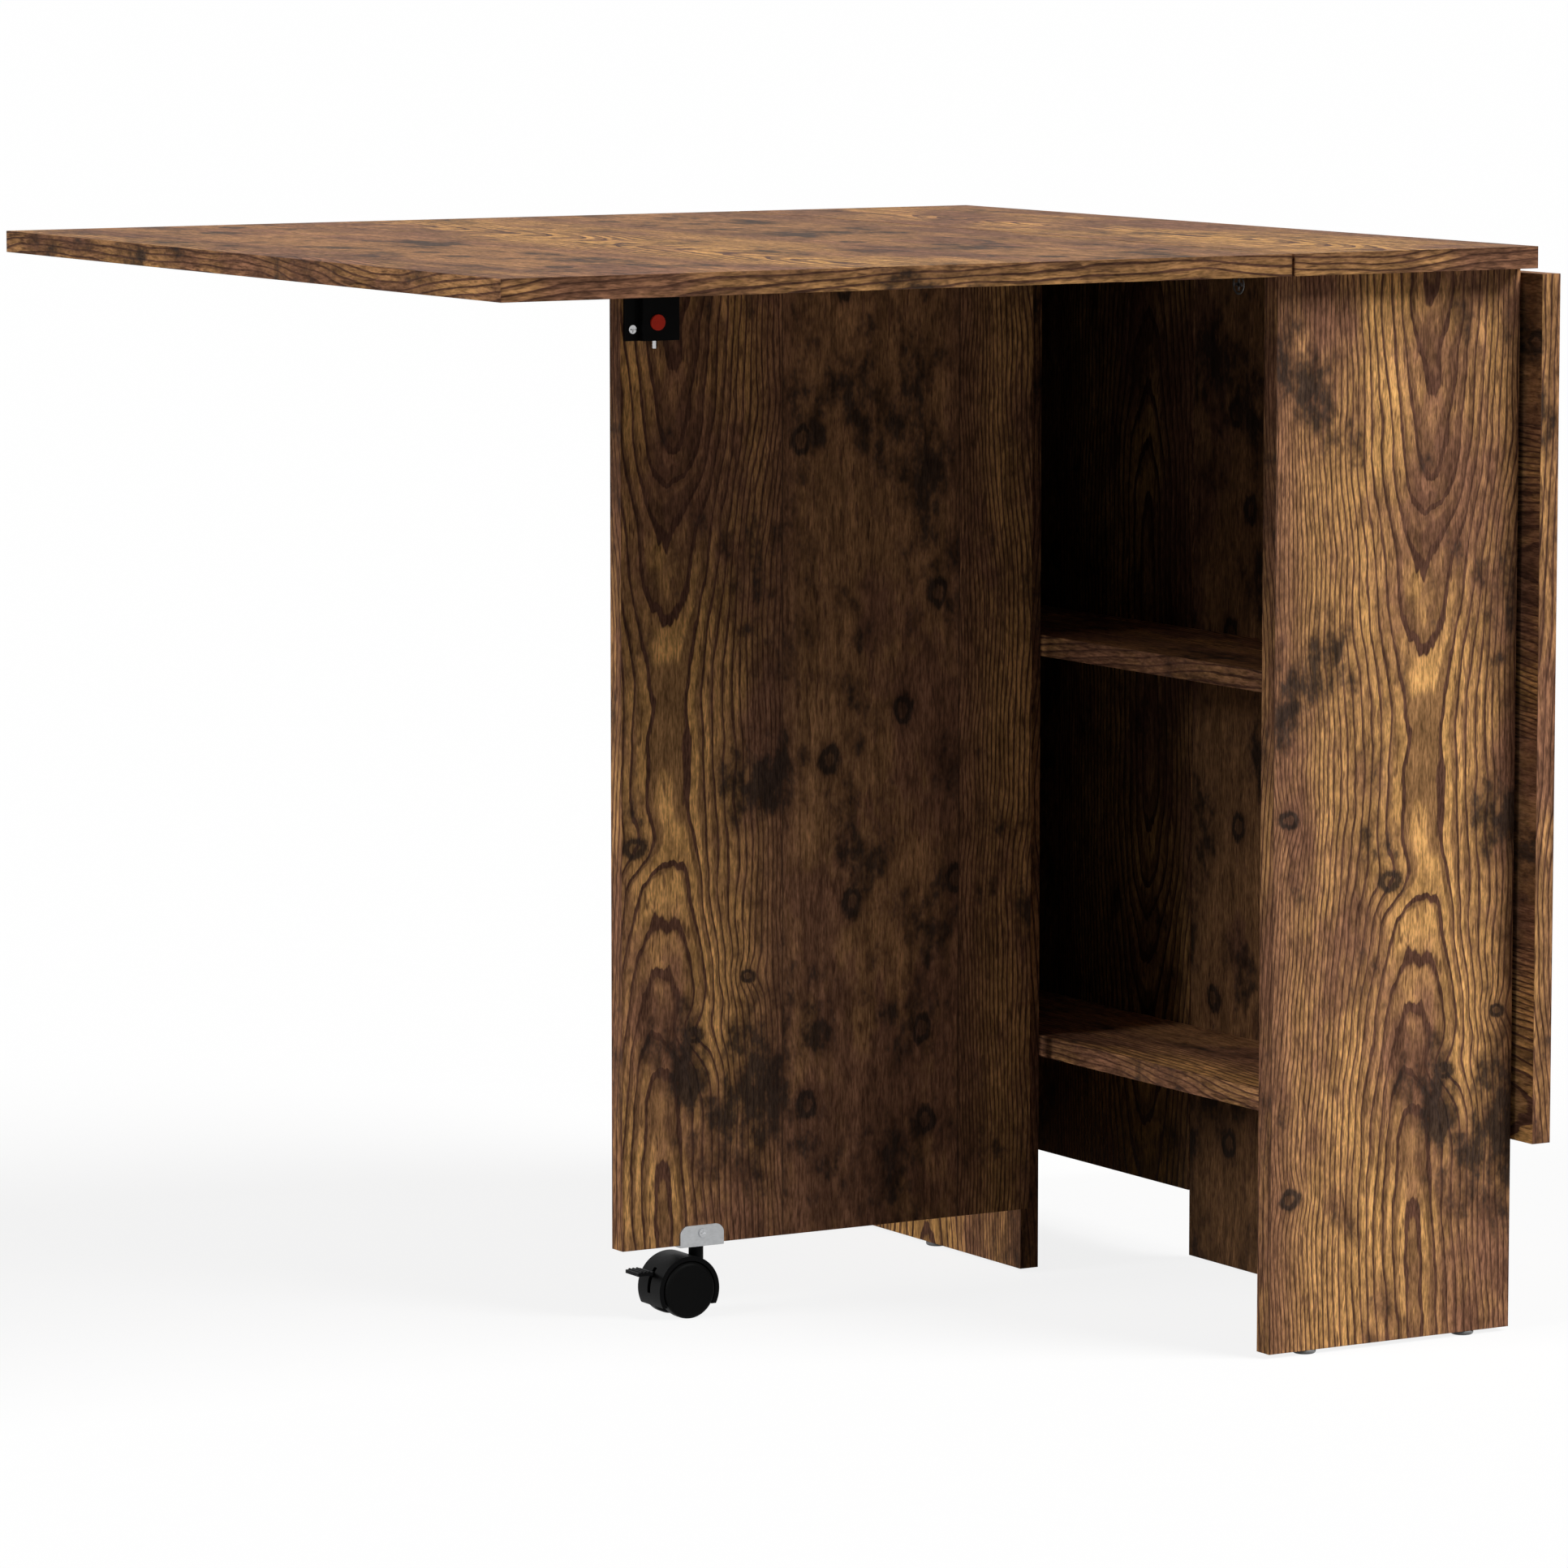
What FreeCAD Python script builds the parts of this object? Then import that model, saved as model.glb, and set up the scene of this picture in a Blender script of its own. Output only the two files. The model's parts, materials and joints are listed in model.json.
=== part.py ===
import FreeCAD, Part
import os

# Drop-leaf table over a narrow open shelf cabinet, in millimetres, +Z up.
# The left leaf is raised on its swung-out gate, the right leaf hangs over its closed gate.
# The cabinet looks the same after half a turn, so right-hand pieces are turned left-hand ones.
# The model is laid out from the cabinet's centre and moved to its box centre on saving.

Vector = FreeCAD.Vector
X_AXIS = Vector(1, 0, 0)
Y_AXIS = Vector(0, 1, 0)
Z_AXIS = Vector(0, 0, 1)

# Whole table
table_height = 750.0
top_depth = 730.0
centre_width = 200.0
leaf_length = 598.0
leaf_gap = 2.0
board = 15.0
end_overhang = 20.0
side_recess = 25.0
wall_length = 322.0
upper_shelf_height = 461.0
lower_shelf_height = 172.0

# Floor glides
glide_height = 3.0
glide_radius = 8.0
glide_edge = 1.0
glide_nail_radius = 1.2
glide_nail_length = 14.0
panel_glide_inset = 34.0
wall_glide_inset = 126.0

# Cam fittings and dowels
cam_radius = 7.5
cam_cover = 2.5
cam_setback = 24.0
cam_slot_width = 1.6
cam_slot_depth = 2.0
cam_slot_reach = 5.2
cam_bolt_radius = 3.0
cam_bolt_cover = 4.0
cam_bolt_play = 0.2
shelf_cam_inset = 25.0
panel_cam_inset = 40.0
wall_top_cam_inset = 55.0
dowel_radius = 4.0
dowel_cover = 7.0
dowel_in_shelf = 22.0
dowel_inset = 55.0

# Screws and fits
screw_radius = 1.5
screw_head_radius = 3.0
screw_head_height = 1.2
screw_slot = 0.7
screw_slot_reach = 2.1
screw_grip = 9.5
bore_fit = 0.02
pin_fit = 0.05
seat_gap = 0.3

# Butt hinges of the leaves and gates
hinge_width = 22.0
hinge_plate = 1.5
hinge_root = 2.0
knuckle_radius = 2.6
knuckle_stand_off = 0.4
knuckle_gap = 0.3
hinge_pin_radius = 1.3
hinge_screw_inset = 7.0
leaf_hinge_length = 60.0
leaf_hinge_inset = 115.0
gate_hinge_length = 50.0
gate_hinge_inset = 80.0

# Gates
gate_seam = 2.0
gate_end_clearance = 1.0
gate_stop_clearance = 0.5
gate_top_clearance = 1.0

# Caster, with its hooded twin wheels and brake pedal
wheel_radius = 20.0
wheel_width = 11.0
wheel_edge = 2.0
wheel_dish = 0.5
wheel_rim = 3.5
wheel_face_wall = 1.5
wheel_side_gap = 0.4
hood_clearance = 0.7
hood_wall = 3.3
hood_web = 12.0
hood_floor_gap = 9.0
wheel_stand_out = 2.0
axle_radius = 2.5
caster_inset = 63.0
caster_trail = 14.0
swivel_neck = 5.0
neck_radius = 5.2
stem_radius = 3.5
stem_depth = 18.0
bracket_plate = 1.5
bracket_width = 35.0
bracket_height = 15.0
bracket_corner = 4.0
bracket_screw_rise = 8.0
bracket_screw_cover = 8.5
pedal_pivot_depth = 11.0
pedal_pivot_rise = 8.0
pedal_pin_radius = 1.5
pedal_hub_radius = 3.2
pedal_arm_width = 3.2
pedal_slot_play = 0.4
pedal_slot_room = 1.0
pedal_slot_drop = 10.0
pedal_clearance = 1.5
pedal_length = 12.0
pedal_width = 18.0
pedal_thickness = 2.5
pedal_rise = 12.0
pedal_ridge = 0.8
pedal_ridges = 3

# Latch at the gate's free top corner, and its catch under the leaf
latch_inset = 2.3
latch_flange_width = 10.5
latch_flange_depth = 3.0
latch_box_width = 28.7
latch_box_depth = 9.0
latch_height = 45.4
latch_wall = 1.2
latch_screw_rises = (8.0, 35.0)
button_radius = 5.5
button_offset = 11.4
button_rise = 12.6
button_proud = 1.5
button_length = 6.5
button_lip = 0.8
button_travel = 2.0
bolt_radius = 2.0
bolt_depth = 4.4
bolt_tail = 5.5
bolt_travel = 6.0
bolt_collar_radius = 3.1
bolt_collar_height = 2.5
bolt_collar_rise = 33.0
spring_seat_rise = 20.7
spring_wire = 0.7
spring_play = 0.2
slide_fit = 0.1
catch_length = 42.0
catch_reach = 9.0
catch_lip = 4.5
catch_lip_drop = 8.0
catch_lip_gap = 0.5
catch_hole_play = 0.3
catch_screw_inset = 6.0

# Depths of the fittings in a board
cam_depth = board - cam_cover
cam_bolt_grip = board - cam_bolt_cover
dowel_in_wall = board - dowel_cover
bracket_screw_length = bracket_plate + board - bracket_screw_cover
hinge_screw_length = hinge_plate + screw_grip
latch_screw_length = latch_flange_depth + screw_grip

# Heights worked out from those sizes
underside = table_height - board
hinge_drop = knuckle_radius + knuckle_stand_off
upper_shelf_middle = upper_shelf_height - board / 2
lower_shelf_middle = lower_shelf_height - board / 2
floor_bay_middle = (glide_height + lower_shelf_middle) / 2
lower_bay_middle = (lower_shelf_middle + upper_shelf_middle) / 2
upper_bay_middle = (upper_shelf_middle + underside) / 2
gate_top = underside - hinge_drop - knuckle_radius - gate_top_clearance
hood_radius = wheel_radius + hood_clearance + hood_wall
bracket_base = wheel_radius + hood_radius + swivel_neck
gate_bottom = bracket_base + bracket_plate

# Plan positions
half_width = centre_width / 2
half_depth = top_depth / 2
panel_outer = half_depth - end_overhang
panel_inner = panel_outer - board
wall_outer = half_width - side_recess
wall_inner = wall_outer - board
wall_middle = wall_outer - board / 2
wall_end = panel_inner - wall_length
leaf_axis = Vector(-half_width - leaf_gap / 2, 0, underside - hinge_drop)
leaf_inner = -half_width - leaf_gap
leaf_outer = leaf_inner - leaf_length
hanging_face = half_width + leaf_gap / 2 + hinge_drop + board
gate_axis_x = -(wall_outer + gate_stop_clearance + hinge_drop)
gate_axis = Vector(gate_axis_x, wall_end - gate_seam / 2, 0)
gate_width = panel_inner - gate_end_clearance + wall_end - gate_seam
gate_far = gate_axis.y - hinge_drop
gate_near = gate_far - board
gate_middle = gate_far - board / 2
gate_hinge_end = gate_axis.x - gate_seam / 2
gate_free_end = gate_hinge_end - gate_width
origin_shift = Vector(-(leaf_outer + hanging_face) / 2, 0, 0)


def block(xs, ys, zs):
    """Box between two limits on each axis."""
    corner = Vector(min(xs), min(ys), min(zs))
    return Part.makeBox(max(xs) - corner.x, max(ys) - corner.y, max(zs) - corner.z, corner)


def rod(start, end, radius):
    """Cylinder from one point to another."""
    run = end - start
    return Part.makeCylinder(radius, run.Length, start, run)


def fuse(shapes):
    """One solid from touching or overlapping shapes."""
    return shapes[0].multiFuse(shapes[1:]).removeSplitter()


def extrude_profile(points, run):
    """Prism over a closed outline."""
    return Part.Face(Part.makePolygon(points + points[:1])).extrude(run)


def turned(shape, point, axis, angle):
    """Copy of a shape turned about a line."""
    copy = shape.copy()
    copy.rotate(point, axis, angle)
    return copy


def half_turn(shape):
    return turned(shape, Vector(), Z_AXIS, 180)


def close_gate(shape):
    """A piece of the left gate, carried to the closed right gate."""
    return half_turn(turned(shape, gate_axis, Z_AXIS, 90))


def drop_leaf(shape):
    """A piece of the raised left leaf, carried to the hanging right leaf."""
    return half_turn(turned(shape, leaf_axis, Y_AXIS, -90))


def set_on(shape, origin, along, out):
    """Copy of a shape made at the origin, with X laid along a board and Y out of it."""
    copy = shape.copy()
    copy.Placement = FreeCAD.Placement(origin, FreeCAD.Rotation(along, out, along.cross(out), "XYZ"))
    return copy


def both_sides(shapes):
    """Shapes of the left half and their copies on the right half."""
    return shapes + [half_turn(shape) for shape in shapes]


def save(name, shapes):
    """Write one node, as one solid or a group of separate ones."""
    node = Part.makeCompound(shapes) if len(shapes) > 1 else shapes[0].copy()
    node.translate(origin_shift)
    node.exportStep("parts/" + name + ".step")


def screw(head_seat, inward, length):
    """Pan-head screw with a cross slot, seated at a point and driven inward along Y or Z."""
    head_top = head_seat - inward * screw_head_height
    head = rod(head_top, head_seat, screw_head_radius)
    shank = rod(head_seat, head_seat + inward * length, screw_radius)
    slots = []
    for across in (X_AXIS, inward.cross(X_AXIS)):
        reach = across * screw_slot_reach
        slots.append(rod(head_top - reach, head_top + reach, screw_slot / 2))
    return fuse([head, shank]).cut(slots)


def screw_bore(head_seat, inward, length):
    """Hole that a screw's shank leaves in what it holds."""
    return rod(head_seat, head_seat + inward * length, screw_radius + bore_fit)


# Hinges, made with the pin along Z at the origin, the plate along X and its board below it in Y
def hinge_plate_solid(length, middle, drop):
    """One plate of a butt hinge, set down from its pin, with its middle knuckle or its two end ones."""
    quarter = length / 4
    half_gap = knuckle_gap / 2
    if middle:
        spans = [(-quarter + half_gap, quarter - half_gap)]
    else:
        spans = [(-length / 2, -quarter - half_gap), (quarter + half_gap, length / 2)]
    root_end = knuckle_radius + knuckle_stand_off
    plate_ys = (-drop, -drop + hinge_plate)
    pieces = [block((root_end, hinge_width), plate_ys, (-length / 2, length / 2))]
    for low, high in spans:
        pieces.append(rod(Vector(0, 0, low), Vector(0, 0, high), knuckle_radius))
        pieces.append(block((0, root_end + hinge_plate), (-drop, -drop + hinge_root), (low, high)))
    bores = [rod(Vector(0, 0, -length), Vector(0, 0, length), hinge_pin_radius + pin_fit)]
    for seat in hinge_screw_seats(length, drop):
        bores.append(screw_bore(seat, -Y_AXIS, hinge_screw_length))
    return fuse(pieces).cut(bores)


def hinge_screw_seats(length, drop):
    """Where the screw heads sit on a hinge plate."""
    reach = length / 2 - hinge_screw_inset
    seat_y = -drop + hinge_plate
    return [Vector(hinge_width - hinge_screw_inset, seat_y, z) for z in (-reach, reach)]


def hinge_pieces(origins, along, out, length, middle, drop=hinge_drop):
    """Plates, screws and board bores of a row of like hinges."""
    seats = hinge_screw_seats(length, drop)
    plate = hinge_plate_solid(length, middle, drop)
    screws = [screw(seat, -Y_AXIS, hinge_screw_length) for seat in seats]
    bores = [screw_bore(seat, -Y_AXIS, hinge_screw_length) for seat in seats]
    placed = [[], [], []]
    for origin in origins:
        for group, shapes in zip(placed, ([plate], screws, bores)):
            group.extend(set_on(shape, origin, along, out) for shape in shapes)
    return placed


def hinge_pins(origins, axis, length):
    half = axis * (length / 2)
    return [rod(origin - half, origin + half, hinge_pin_radius) for origin in origins]


leaf_hinge_reach = half_depth - leaf_hinge_inset
leaf_hinge_places = [leaf_axis + Y_AXIS * y for y in (-leaf_hinge_reach, 0, leaf_hinge_reach)]
top_plates, top_screws, top_bores = hinge_pieces(
    leaf_hinge_places, X_AXIS, -Z_AXIS, leaf_hinge_length, middle=False)
leaf_plates, leaf_screws, leaf_bores = hinge_pieces(
    leaf_hinge_places, -X_AXIS, -Z_AXIS, leaf_hinge_length, middle=True)
leaf_pins = hinge_pins(leaf_hinge_places, Y_AXIS, leaf_hinge_length)

gate_half_height = (gate_bottom + gate_top) / 2
gate_hinge_heights = (gate_bottom + gate_hinge_inset, gate_half_height, gate_top - gate_hinge_inset)
gate_hinge_places = [gate_axis + Z_AXIS * height for height in gate_hinge_heights]
wall_plates, wall_screws, wall_bores = hinge_pieces(
    gate_hinge_places, Y_AXIS, -X_AXIS, gate_hinge_length, middle=False,
    drop=hinge_drop + gate_stop_clearance)
gate_plates, gate_screws, gate_bores = hinge_pieces(
    gate_hinge_places, -X_AXIS, Y_AXIS, gate_hinge_length, middle=True)
gate_pins = hinge_pins(gate_hinge_places, Z_AXIS, gate_hinge_length)


# Cam fittings: a lock in one board draws in a bolt that stands in the board beside it
def cam_fitting(edge, outward, face):
    """Lock, bolt, bores of the locked board and bore of the board beside it."""
    middle = edge - outward * cam_setback
    mouth = middle + face * (board / 2)
    bolt = rod(middle, edge + outward * cam_bolt_grip, cam_bolt_radius)
    channel = rod(middle, edge, cam_bolt_radius + cam_bolt_play)
    slot_half = outward * cam_slot_reach
    slot_side = outward.cross(face) * (cam_slot_width / 2)
    slot_corners = [mouth - slot_half - slot_side, mouth + slot_half - slot_side,
                    mouth + slot_half + slot_side, mouth - slot_half + slot_side]
    slot = extrude_profile(slot_corners, face * -cam_slot_depth)
    lock = rod(mouth - face * cam_depth, mouth, cam_radius)
    pocket = rod(mouth - face * cam_depth, mouth, cam_radius + bore_fit)
    grip = rod(edge, edge + outward * cam_bolt_grip, cam_bolt_radius + bore_fit)
    lock_opening = rod(middle - outward * cam_bolt_radius, edge, cam_bolt_radius + cam_bolt_play)
    return lock.cut([lock_opening, slot]), bolt, [pocket, channel], grip


cam_locks = []
cam_bolts = []
bores = {name: [] for name in ("top", "panel", "wall", "upper_shelf", "lower_shelf", "leaf", "gate")}


def join_with_cam(edge, outward, face, locked, beside):
    """Add one cam fitting on the left half and its bores in two kinds of board."""
    lock, bolt, locked_bores, beside_bore = cam_fitting(edge, outward, face)
    cam_locks.append(lock)
    cam_bolts.append(bolt)
    bores[locked].extend(locked_bores)
    bores[beside].append(beside_bore)


# Fittings of the left half: rear end panel, left wall and the shelves' rear ends
shelf_middles = {"upper_shelf": upper_shelf_middle, "lower_shelf": lower_shelf_middle}
for shelf, height in shelf_middles.items():
    for x in (shelf_cam_inset - wall_inner, wall_inner - shelf_cam_inset):
        join_with_cam(Vector(x, panel_inner, height), Y_AXIS, -Z_AXIS, shelf, "panel")
for height in (floor_bay_middle, lower_bay_middle, upper_bay_middle):
    join_with_cam(Vector(-wall_middle, panel_inner, height), Y_AXIS, X_AXIS, "wall", "panel")
for x in (panel_cam_inset - half_width, half_width - panel_cam_inset):
    join_with_cam(Vector(x, panel_outer - board / 2, underside), Z_AXIS, -Y_AXIS, "panel", "top")
for y in (wall_end + wall_top_cam_inset, panel_inner - wall_top_cam_inset):
    join_with_cam(Vector(-wall_middle, y, underside), Z_AXIS, X_AXIS, "wall", "top")

dowels = []
for shelf, height in shelf_middles.items():
    for y in (wall_end + dowel_inset, panel_inner - dowel_inset):
        seat = Vector(-wall_inner, y, height)
        outer_end = seat - X_AXIS * dowel_in_wall
        inner_end = seat + X_AXIS * dowel_in_shelf
        dowels.append(rod(outer_end, inner_end, dowel_radius))
        bores["wall"].append(rod(outer_end, seat, dowel_radius + bore_fit))
        bores[shelf].append(rod(seat, inner_end, dowel_radius + bore_fit))


# Floor glides, nailed under the rear panel and the left wall
def floor_glide(x, y):
    """Round nailed glide with a bevelled foot, and the nail's bore."""
    foot = Part.makeCone(glide_radius - glide_edge, glide_radius, glide_edge, Vector(x, y, 0))
    disc = rod(Vector(x, y, glide_edge), Vector(x, y, glide_height), glide_radius)
    nail_start = Vector(x, y, glide_height)
    nail_end = nail_start + Z_AXIS * glide_nail_length
    nail = rod(nail_start, nail_end, glide_nail_radius)
    return fuse([foot, disc, nail]), rod(nail_start, nail_end, glide_nail_radius + bore_fit)


glides = []
for x in (panel_glide_inset - half_width, half_width - panel_glide_inset):
    glide, nail_bore = floor_glide(x, panel_outer - board / 2)
    glides.append(glide)
    bores["panel"].append(nail_bore)
glide, nail_bore = floor_glide(-wall_middle, wall_end + wall_glide_inset)
glides.append(glide)
bores["wall"].append(nail_bore)

# Cabinet boards
bores["top"].extend(top_bores)
bores["wall"].extend(wall_bores)
panel_zs = (glide_height, underside)
top_solid = block((-half_width, half_width), (-half_depth, half_depth), (underside, table_height))
top_solid = top_solid.cut(both_sides(bores["top"]))
panel_solid = block((-half_width, half_width), (panel_inner, panel_outer), panel_zs).cut(bores["panel"])
wall_solid = block((-wall_outer, -wall_inner), (wall_end, panel_inner), panel_zs).cut(bores["wall"])
shelf_solids = {}
for shelf, middle in shelf_middles.items():
    shelf_zs = (middle - board / 2, middle + board / 2)
    shelf_solid = block((-wall_inner, wall_inner), (-panel_inner, panel_inner), shelf_zs)
    shelf_solids[shelf] = shelf_solid.cut(both_sides(bores[shelf]))

# Catch under the leaf: a bolt socket over the gate's free end, with a lip that stops the gate
catch_bottom = gate_top + seat_gap
catch_xs = (gate_free_end, gate_free_end + catch_length)
catch_near = gate_near - catch_reach
catch_far = gate_far + catch_lip_gap + catch_lip
latch_box_start = gate_free_end + latch_inset + latch_flange_width
latch_box_end = latch_box_start + latch_box_width
bolt_x = latch_box_start + button_offset
bolt_y = gate_near - bolt_depth
bolt_top = gate_top - seat_gap
bolt_room = Vector(bolt_x, bolt_y, bolt_top + bolt_travel + seat_gap)

catch_body = block(catch_xs, (catch_near, catch_far), (catch_bottom, underside))
catch_stop = block(catch_xs, (catch_far - catch_lip, catch_far), (gate_top - catch_lip_drop, underside))
socket = rod(Vector(bolt_x, bolt_y, catch_bottom), bolt_room, bolt_radius + catch_hole_play)
catch_seats = []
for x in (catch_xs[0] + catch_screw_inset, catch_xs[1] - catch_screw_inset):
    catch_seats.append(Vector(x, gate_middle, catch_bottom + screw_head_height))
catch_counterbores = []
for seat in catch_seats:
    head_room = seat - Z_AXIS * screw_head_height
    catch_counterbores.append(rod(head_room, seat, screw_head_radius + slide_fit))
    catch_counterbores.append(screw_bore(seat, Z_AXIS, underside - seat.z))
catch_solid = fuse([catch_body, catch_stop]).cut([socket] + catch_counterbores)
catch_screw_length = underside - catch_seats[0].z + screw_grip
catch_screws = [screw(seat, Z_AXIS, catch_screw_length) for seat in catch_seats]
bores["leaf"].extend(screw_bore(seat, Z_AXIS, catch_screw_length) for seat in catch_seats)

# Leaf
bores["leaf"].extend(leaf_bores)
leaf_solid = block((leaf_outer, leaf_inner), (-half_depth, half_depth), (underside, table_height))
leaf_solid = leaf_solid.cut(bores["leaf"])

# Latch housing: a screwed flange beside a hollow box, open against the gate, with a seat for its spring
latch_bottom = gate_top - latch_height
latch_front = gate_near - latch_box_depth
latch_zs = (latch_bottom, gate_top)
flange_start = gate_free_end + latch_inset
flange_front = gate_near - latch_flange_depth
flange = block((flange_start, latch_box_start), (flange_front, gate_near), latch_zs)
latch_box = block((latch_box_start, latch_box_end), (latch_front, gate_near), latch_zs)
cavity = block((latch_box_start + latch_wall, latch_box_end - latch_wall),
               (latch_front + latch_wall, gate_near),
               (latch_bottom + latch_wall, gate_top - latch_wall))
spring_foot = Vector(bolt_x, bolt_y, latch_bottom + spring_seat_rise)
spring_seat = block((latch_box_start, latch_box_end), (latch_front, gate_near),
                    (spring_foot.z - latch_wall, spring_foot.z))
latch_seats = []
for rise in latch_screw_rises:
    latch_seats.append(Vector((flange_start + latch_box_start) / 2, flange_front, latch_bottom + rise))
latch_screw_bores = [screw_bore(seat, Y_AXIS, latch_screw_length) for seat in latch_seats]
latch_screws = [screw(seat, Y_AXIS, latch_screw_length) for seat in latch_seats]
bores["gate"].extend(latch_screw_bores)

# Release button, held behind the box's front by a lip, with a groove that straddles the bolt
button_front = Vector(bolt_x, latch_front - button_proud, latch_bottom + button_rise)
button_back = button_front + Y_AXIS * button_length
lip_front = Vector(button_front.x, latch_front + latch_wall + slide_fit, button_front.z)
button_lip_disc = rod(lip_front, lip_front + Y_AXIS * latch_wall, button_radius + button_lip)
groove_half = bolt_radius + slide_fit
groove_front = bolt_y - groove_half - button_travel
groove = block((bolt_x - groove_half, bolt_x + groove_half), (groove_front, gate_near), latch_zs)
button_solid = fuse([rod(button_front, button_back, button_radius), button_lip_disc]).cut(groove)

# Latch bolt, lowered at rest, with the collar that its spring pushes
bolt_end = Vector(bolt_x, bolt_y, latch_bottom - bolt_tail)
collar_seat = Vector(bolt_x, bolt_y, latch_bottom + bolt_collar_rise)
collar = rod(collar_seat, collar_seat + Z_AXIS * bolt_collar_height, bolt_collar_radius)
bolt_solid = fuse([rod(bolt_end, Vector(bolt_x, bolt_y, bolt_top), bolt_radius), collar])
spring_bore = rod(spring_foot, collar_seat, bolt_radius + spring_play)
spring_solid = rod(spring_foot, collar_seat, bolt_radius + spring_play + spring_wire).cut(spring_bore)

button_opening = rod(button_front, button_back, button_radius + slide_fit)
bolt_opening = rod(bolt_end, bolt_room, bolt_radius + slide_fit)
housing_solid = fuse([flange, latch_box.cut(cavity), spring_seat])
housing_solid = housing_solid.cut([button_opening, bolt_opening] + latch_screw_bores)

# Caster bracket: a strap folded up over both faces of the gate's bottom edge
caster_x = gate_free_end + caster_inset
bracket_xs = (caster_x - bracket_width / 2, caster_x + bracket_width / 2)
bracket_top = bracket_base + bracket_height
bracket_shoulder = bracket_top - bracket_corner
bracket_outline = [
    (bracket_xs[0], bracket_base),
    (bracket_xs[1], bracket_base),
    (bracket_xs[1], bracket_shoulder),
    (bracket_xs[1] - bracket_corner, bracket_top),
    (bracket_xs[0] + bracket_corner, bracket_top),
    (bracket_xs[0], bracket_shoulder),
]
bracket_sheets = [block(bracket_xs, (gate_near, gate_far), (bracket_base, gate_bottom))]
for y in (gate_near - bracket_plate, gate_far):
    corners = [Vector(x, y, z) for x, z in bracket_outline]
    bracket_sheets.append(extrude_profile(corners, Y_AXIS * bracket_plate))
bracket_seats = []
for y, inward in ((gate_near - bracket_plate, Y_AXIS), (gate_far + bracket_plate, -Y_AXIS)):
    bracket_seats.append((Vector(caster_x, y, gate_bottom + bracket_screw_rise), inward))
bracket_screw_bores = [screw_bore(seat, inward, bracket_screw_length) for seat, inward in bracket_seats]
bracket_screws = [screw(seat, inward, bracket_screw_length) for seat, inward in bracket_seats]
bores["gate"].extend(bracket_screw_bores)

# Swivel stem, riveted into the bracket
stem_top = Vector(caster_x, gate_middle, gate_bottom)
stem_foot = Vector(caster_x, gate_middle, bracket_base - stem_depth)
stem_solid = rod(stem_foot, stem_top, stem_radius)
stem_hole = rod(stem_foot, stem_top, stem_radius + bore_fit)
bracket_solid = fuse(bracket_sheets).cut([stem_hole] + bracket_screw_bores)

# Hood: a drum over both wheels on a middle web, with the swivel neck and the pedal's slot
wheel_centre = Vector(caster_x - caster_trail, gate_middle, wheel_radius)
wheel_inner = hood_web / 2 + wheel_side_gap
wheel_outer = wheel_inner + wheel_width
hood_half = wheel_outer - wheel_stand_out
web_half = Y_AXIS * (hood_web / 2)
drum = rod(wheel_centre - Y_AXIS * hood_half, wheel_centre + Y_AXIS * hood_half, hood_radius)
neck_top = Vector(caster_x, gate_middle, bracket_base - seat_gap)
neck = rod(stem_foot, neck_top, neck_radius)
pedal_pivot = wheel_centre + Vector(pedal_pivot_depth - hood_radius, 0, pedal_pivot_rise)
pedal_bottom = wheel_radius + pedal_rise
pedal_top = pedal_bottom + pedal_thickness
slot_half = pedal_arm_width / 2 + pedal_slot_play
slot_reach = pedal_hub_radius + pedal_slot_room
hood_cuts = [
    rod(wheel_centre - Y_AXIS * wheel_outer, wheel_centre - web_half, wheel_radius + hood_clearance),
    rod(wheel_centre + web_half, wheel_centre + Y_AXIS * wheel_outer, wheel_radius + hood_clearance),
    block((wheel_centre.x - hood_radius, wheel_centre.x + hood_radius),
          (gate_middle - wheel_outer, gate_middle + wheel_outer),
          (wheel_radius - hood_radius, hood_floor_gap)),
    rod(stem_foot - Z_AXIS * seat_gap, stem_top, stem_radius + pin_fit),
    rod(wheel_centre - web_half, wheel_centre + web_half, axle_radius + bore_fit),
    block((wheel_centre.x - hood_radius, pedal_pivot.x + slot_reach),
          (gate_middle - slot_half, gate_middle + slot_half),
          (pedal_pivot.z - pedal_slot_drop, pedal_top + pedal_slot_room)),
    rod(pedal_pivot - web_half, pedal_pivot + web_half, pedal_pin_radius + bore_fit),
]
hood_solid = fuse([drum, neck]).cut(hood_cuts)

# Brake pedal: a ridged paddle on an arm that turns on a pin in the web
paddle_start = wheel_centre.x - hood_radius - pedal_clearance
paddle_end = paddle_start - pedal_length
paddle_ys = (gate_middle - pedal_width / 2, gate_middle + pedal_width / 2)
arm_near = gate_middle - pedal_arm_width / 2
arm_end = paddle_start - pedal_thickness
arm_outline = [
    (pedal_pivot.x, pedal_pivot.z - pedal_hub_radius),
    (arm_end, pedal_bottom),
    (arm_end, pedal_top),
    (pedal_pivot.x, pedal_pivot.z + pedal_hub_radius),
]
arm = extrude_profile([Vector(x, arm_near, z) for x, z in arm_outline], Y_AXIS * pedal_arm_width)
hub_start = Vector(pedal_pivot.x, arm_near, pedal_pivot.z)
hub = rod(hub_start, hub_start + Y_AXIS * pedal_arm_width, pedal_hub_radius)
pedal_pieces = [block((paddle_end, paddle_start), paddle_ys, (pedal_bottom, pedal_top)), arm, hub]
ridge_step = pedal_length / (pedal_ridges + 1)
for number in range(1, pedal_ridges + 1):
    ridge_x = paddle_end + ridge_step * number
    ridge_ends = [Vector(ridge_x, y, pedal_top) for y in paddle_ys]
    pedal_pieces.append(rod(*ridge_ends, pedal_ridge))
pedal_bore = rod(pedal_pivot - web_half, pedal_pivot + web_half, pedal_pin_radius + pin_fit)
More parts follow.
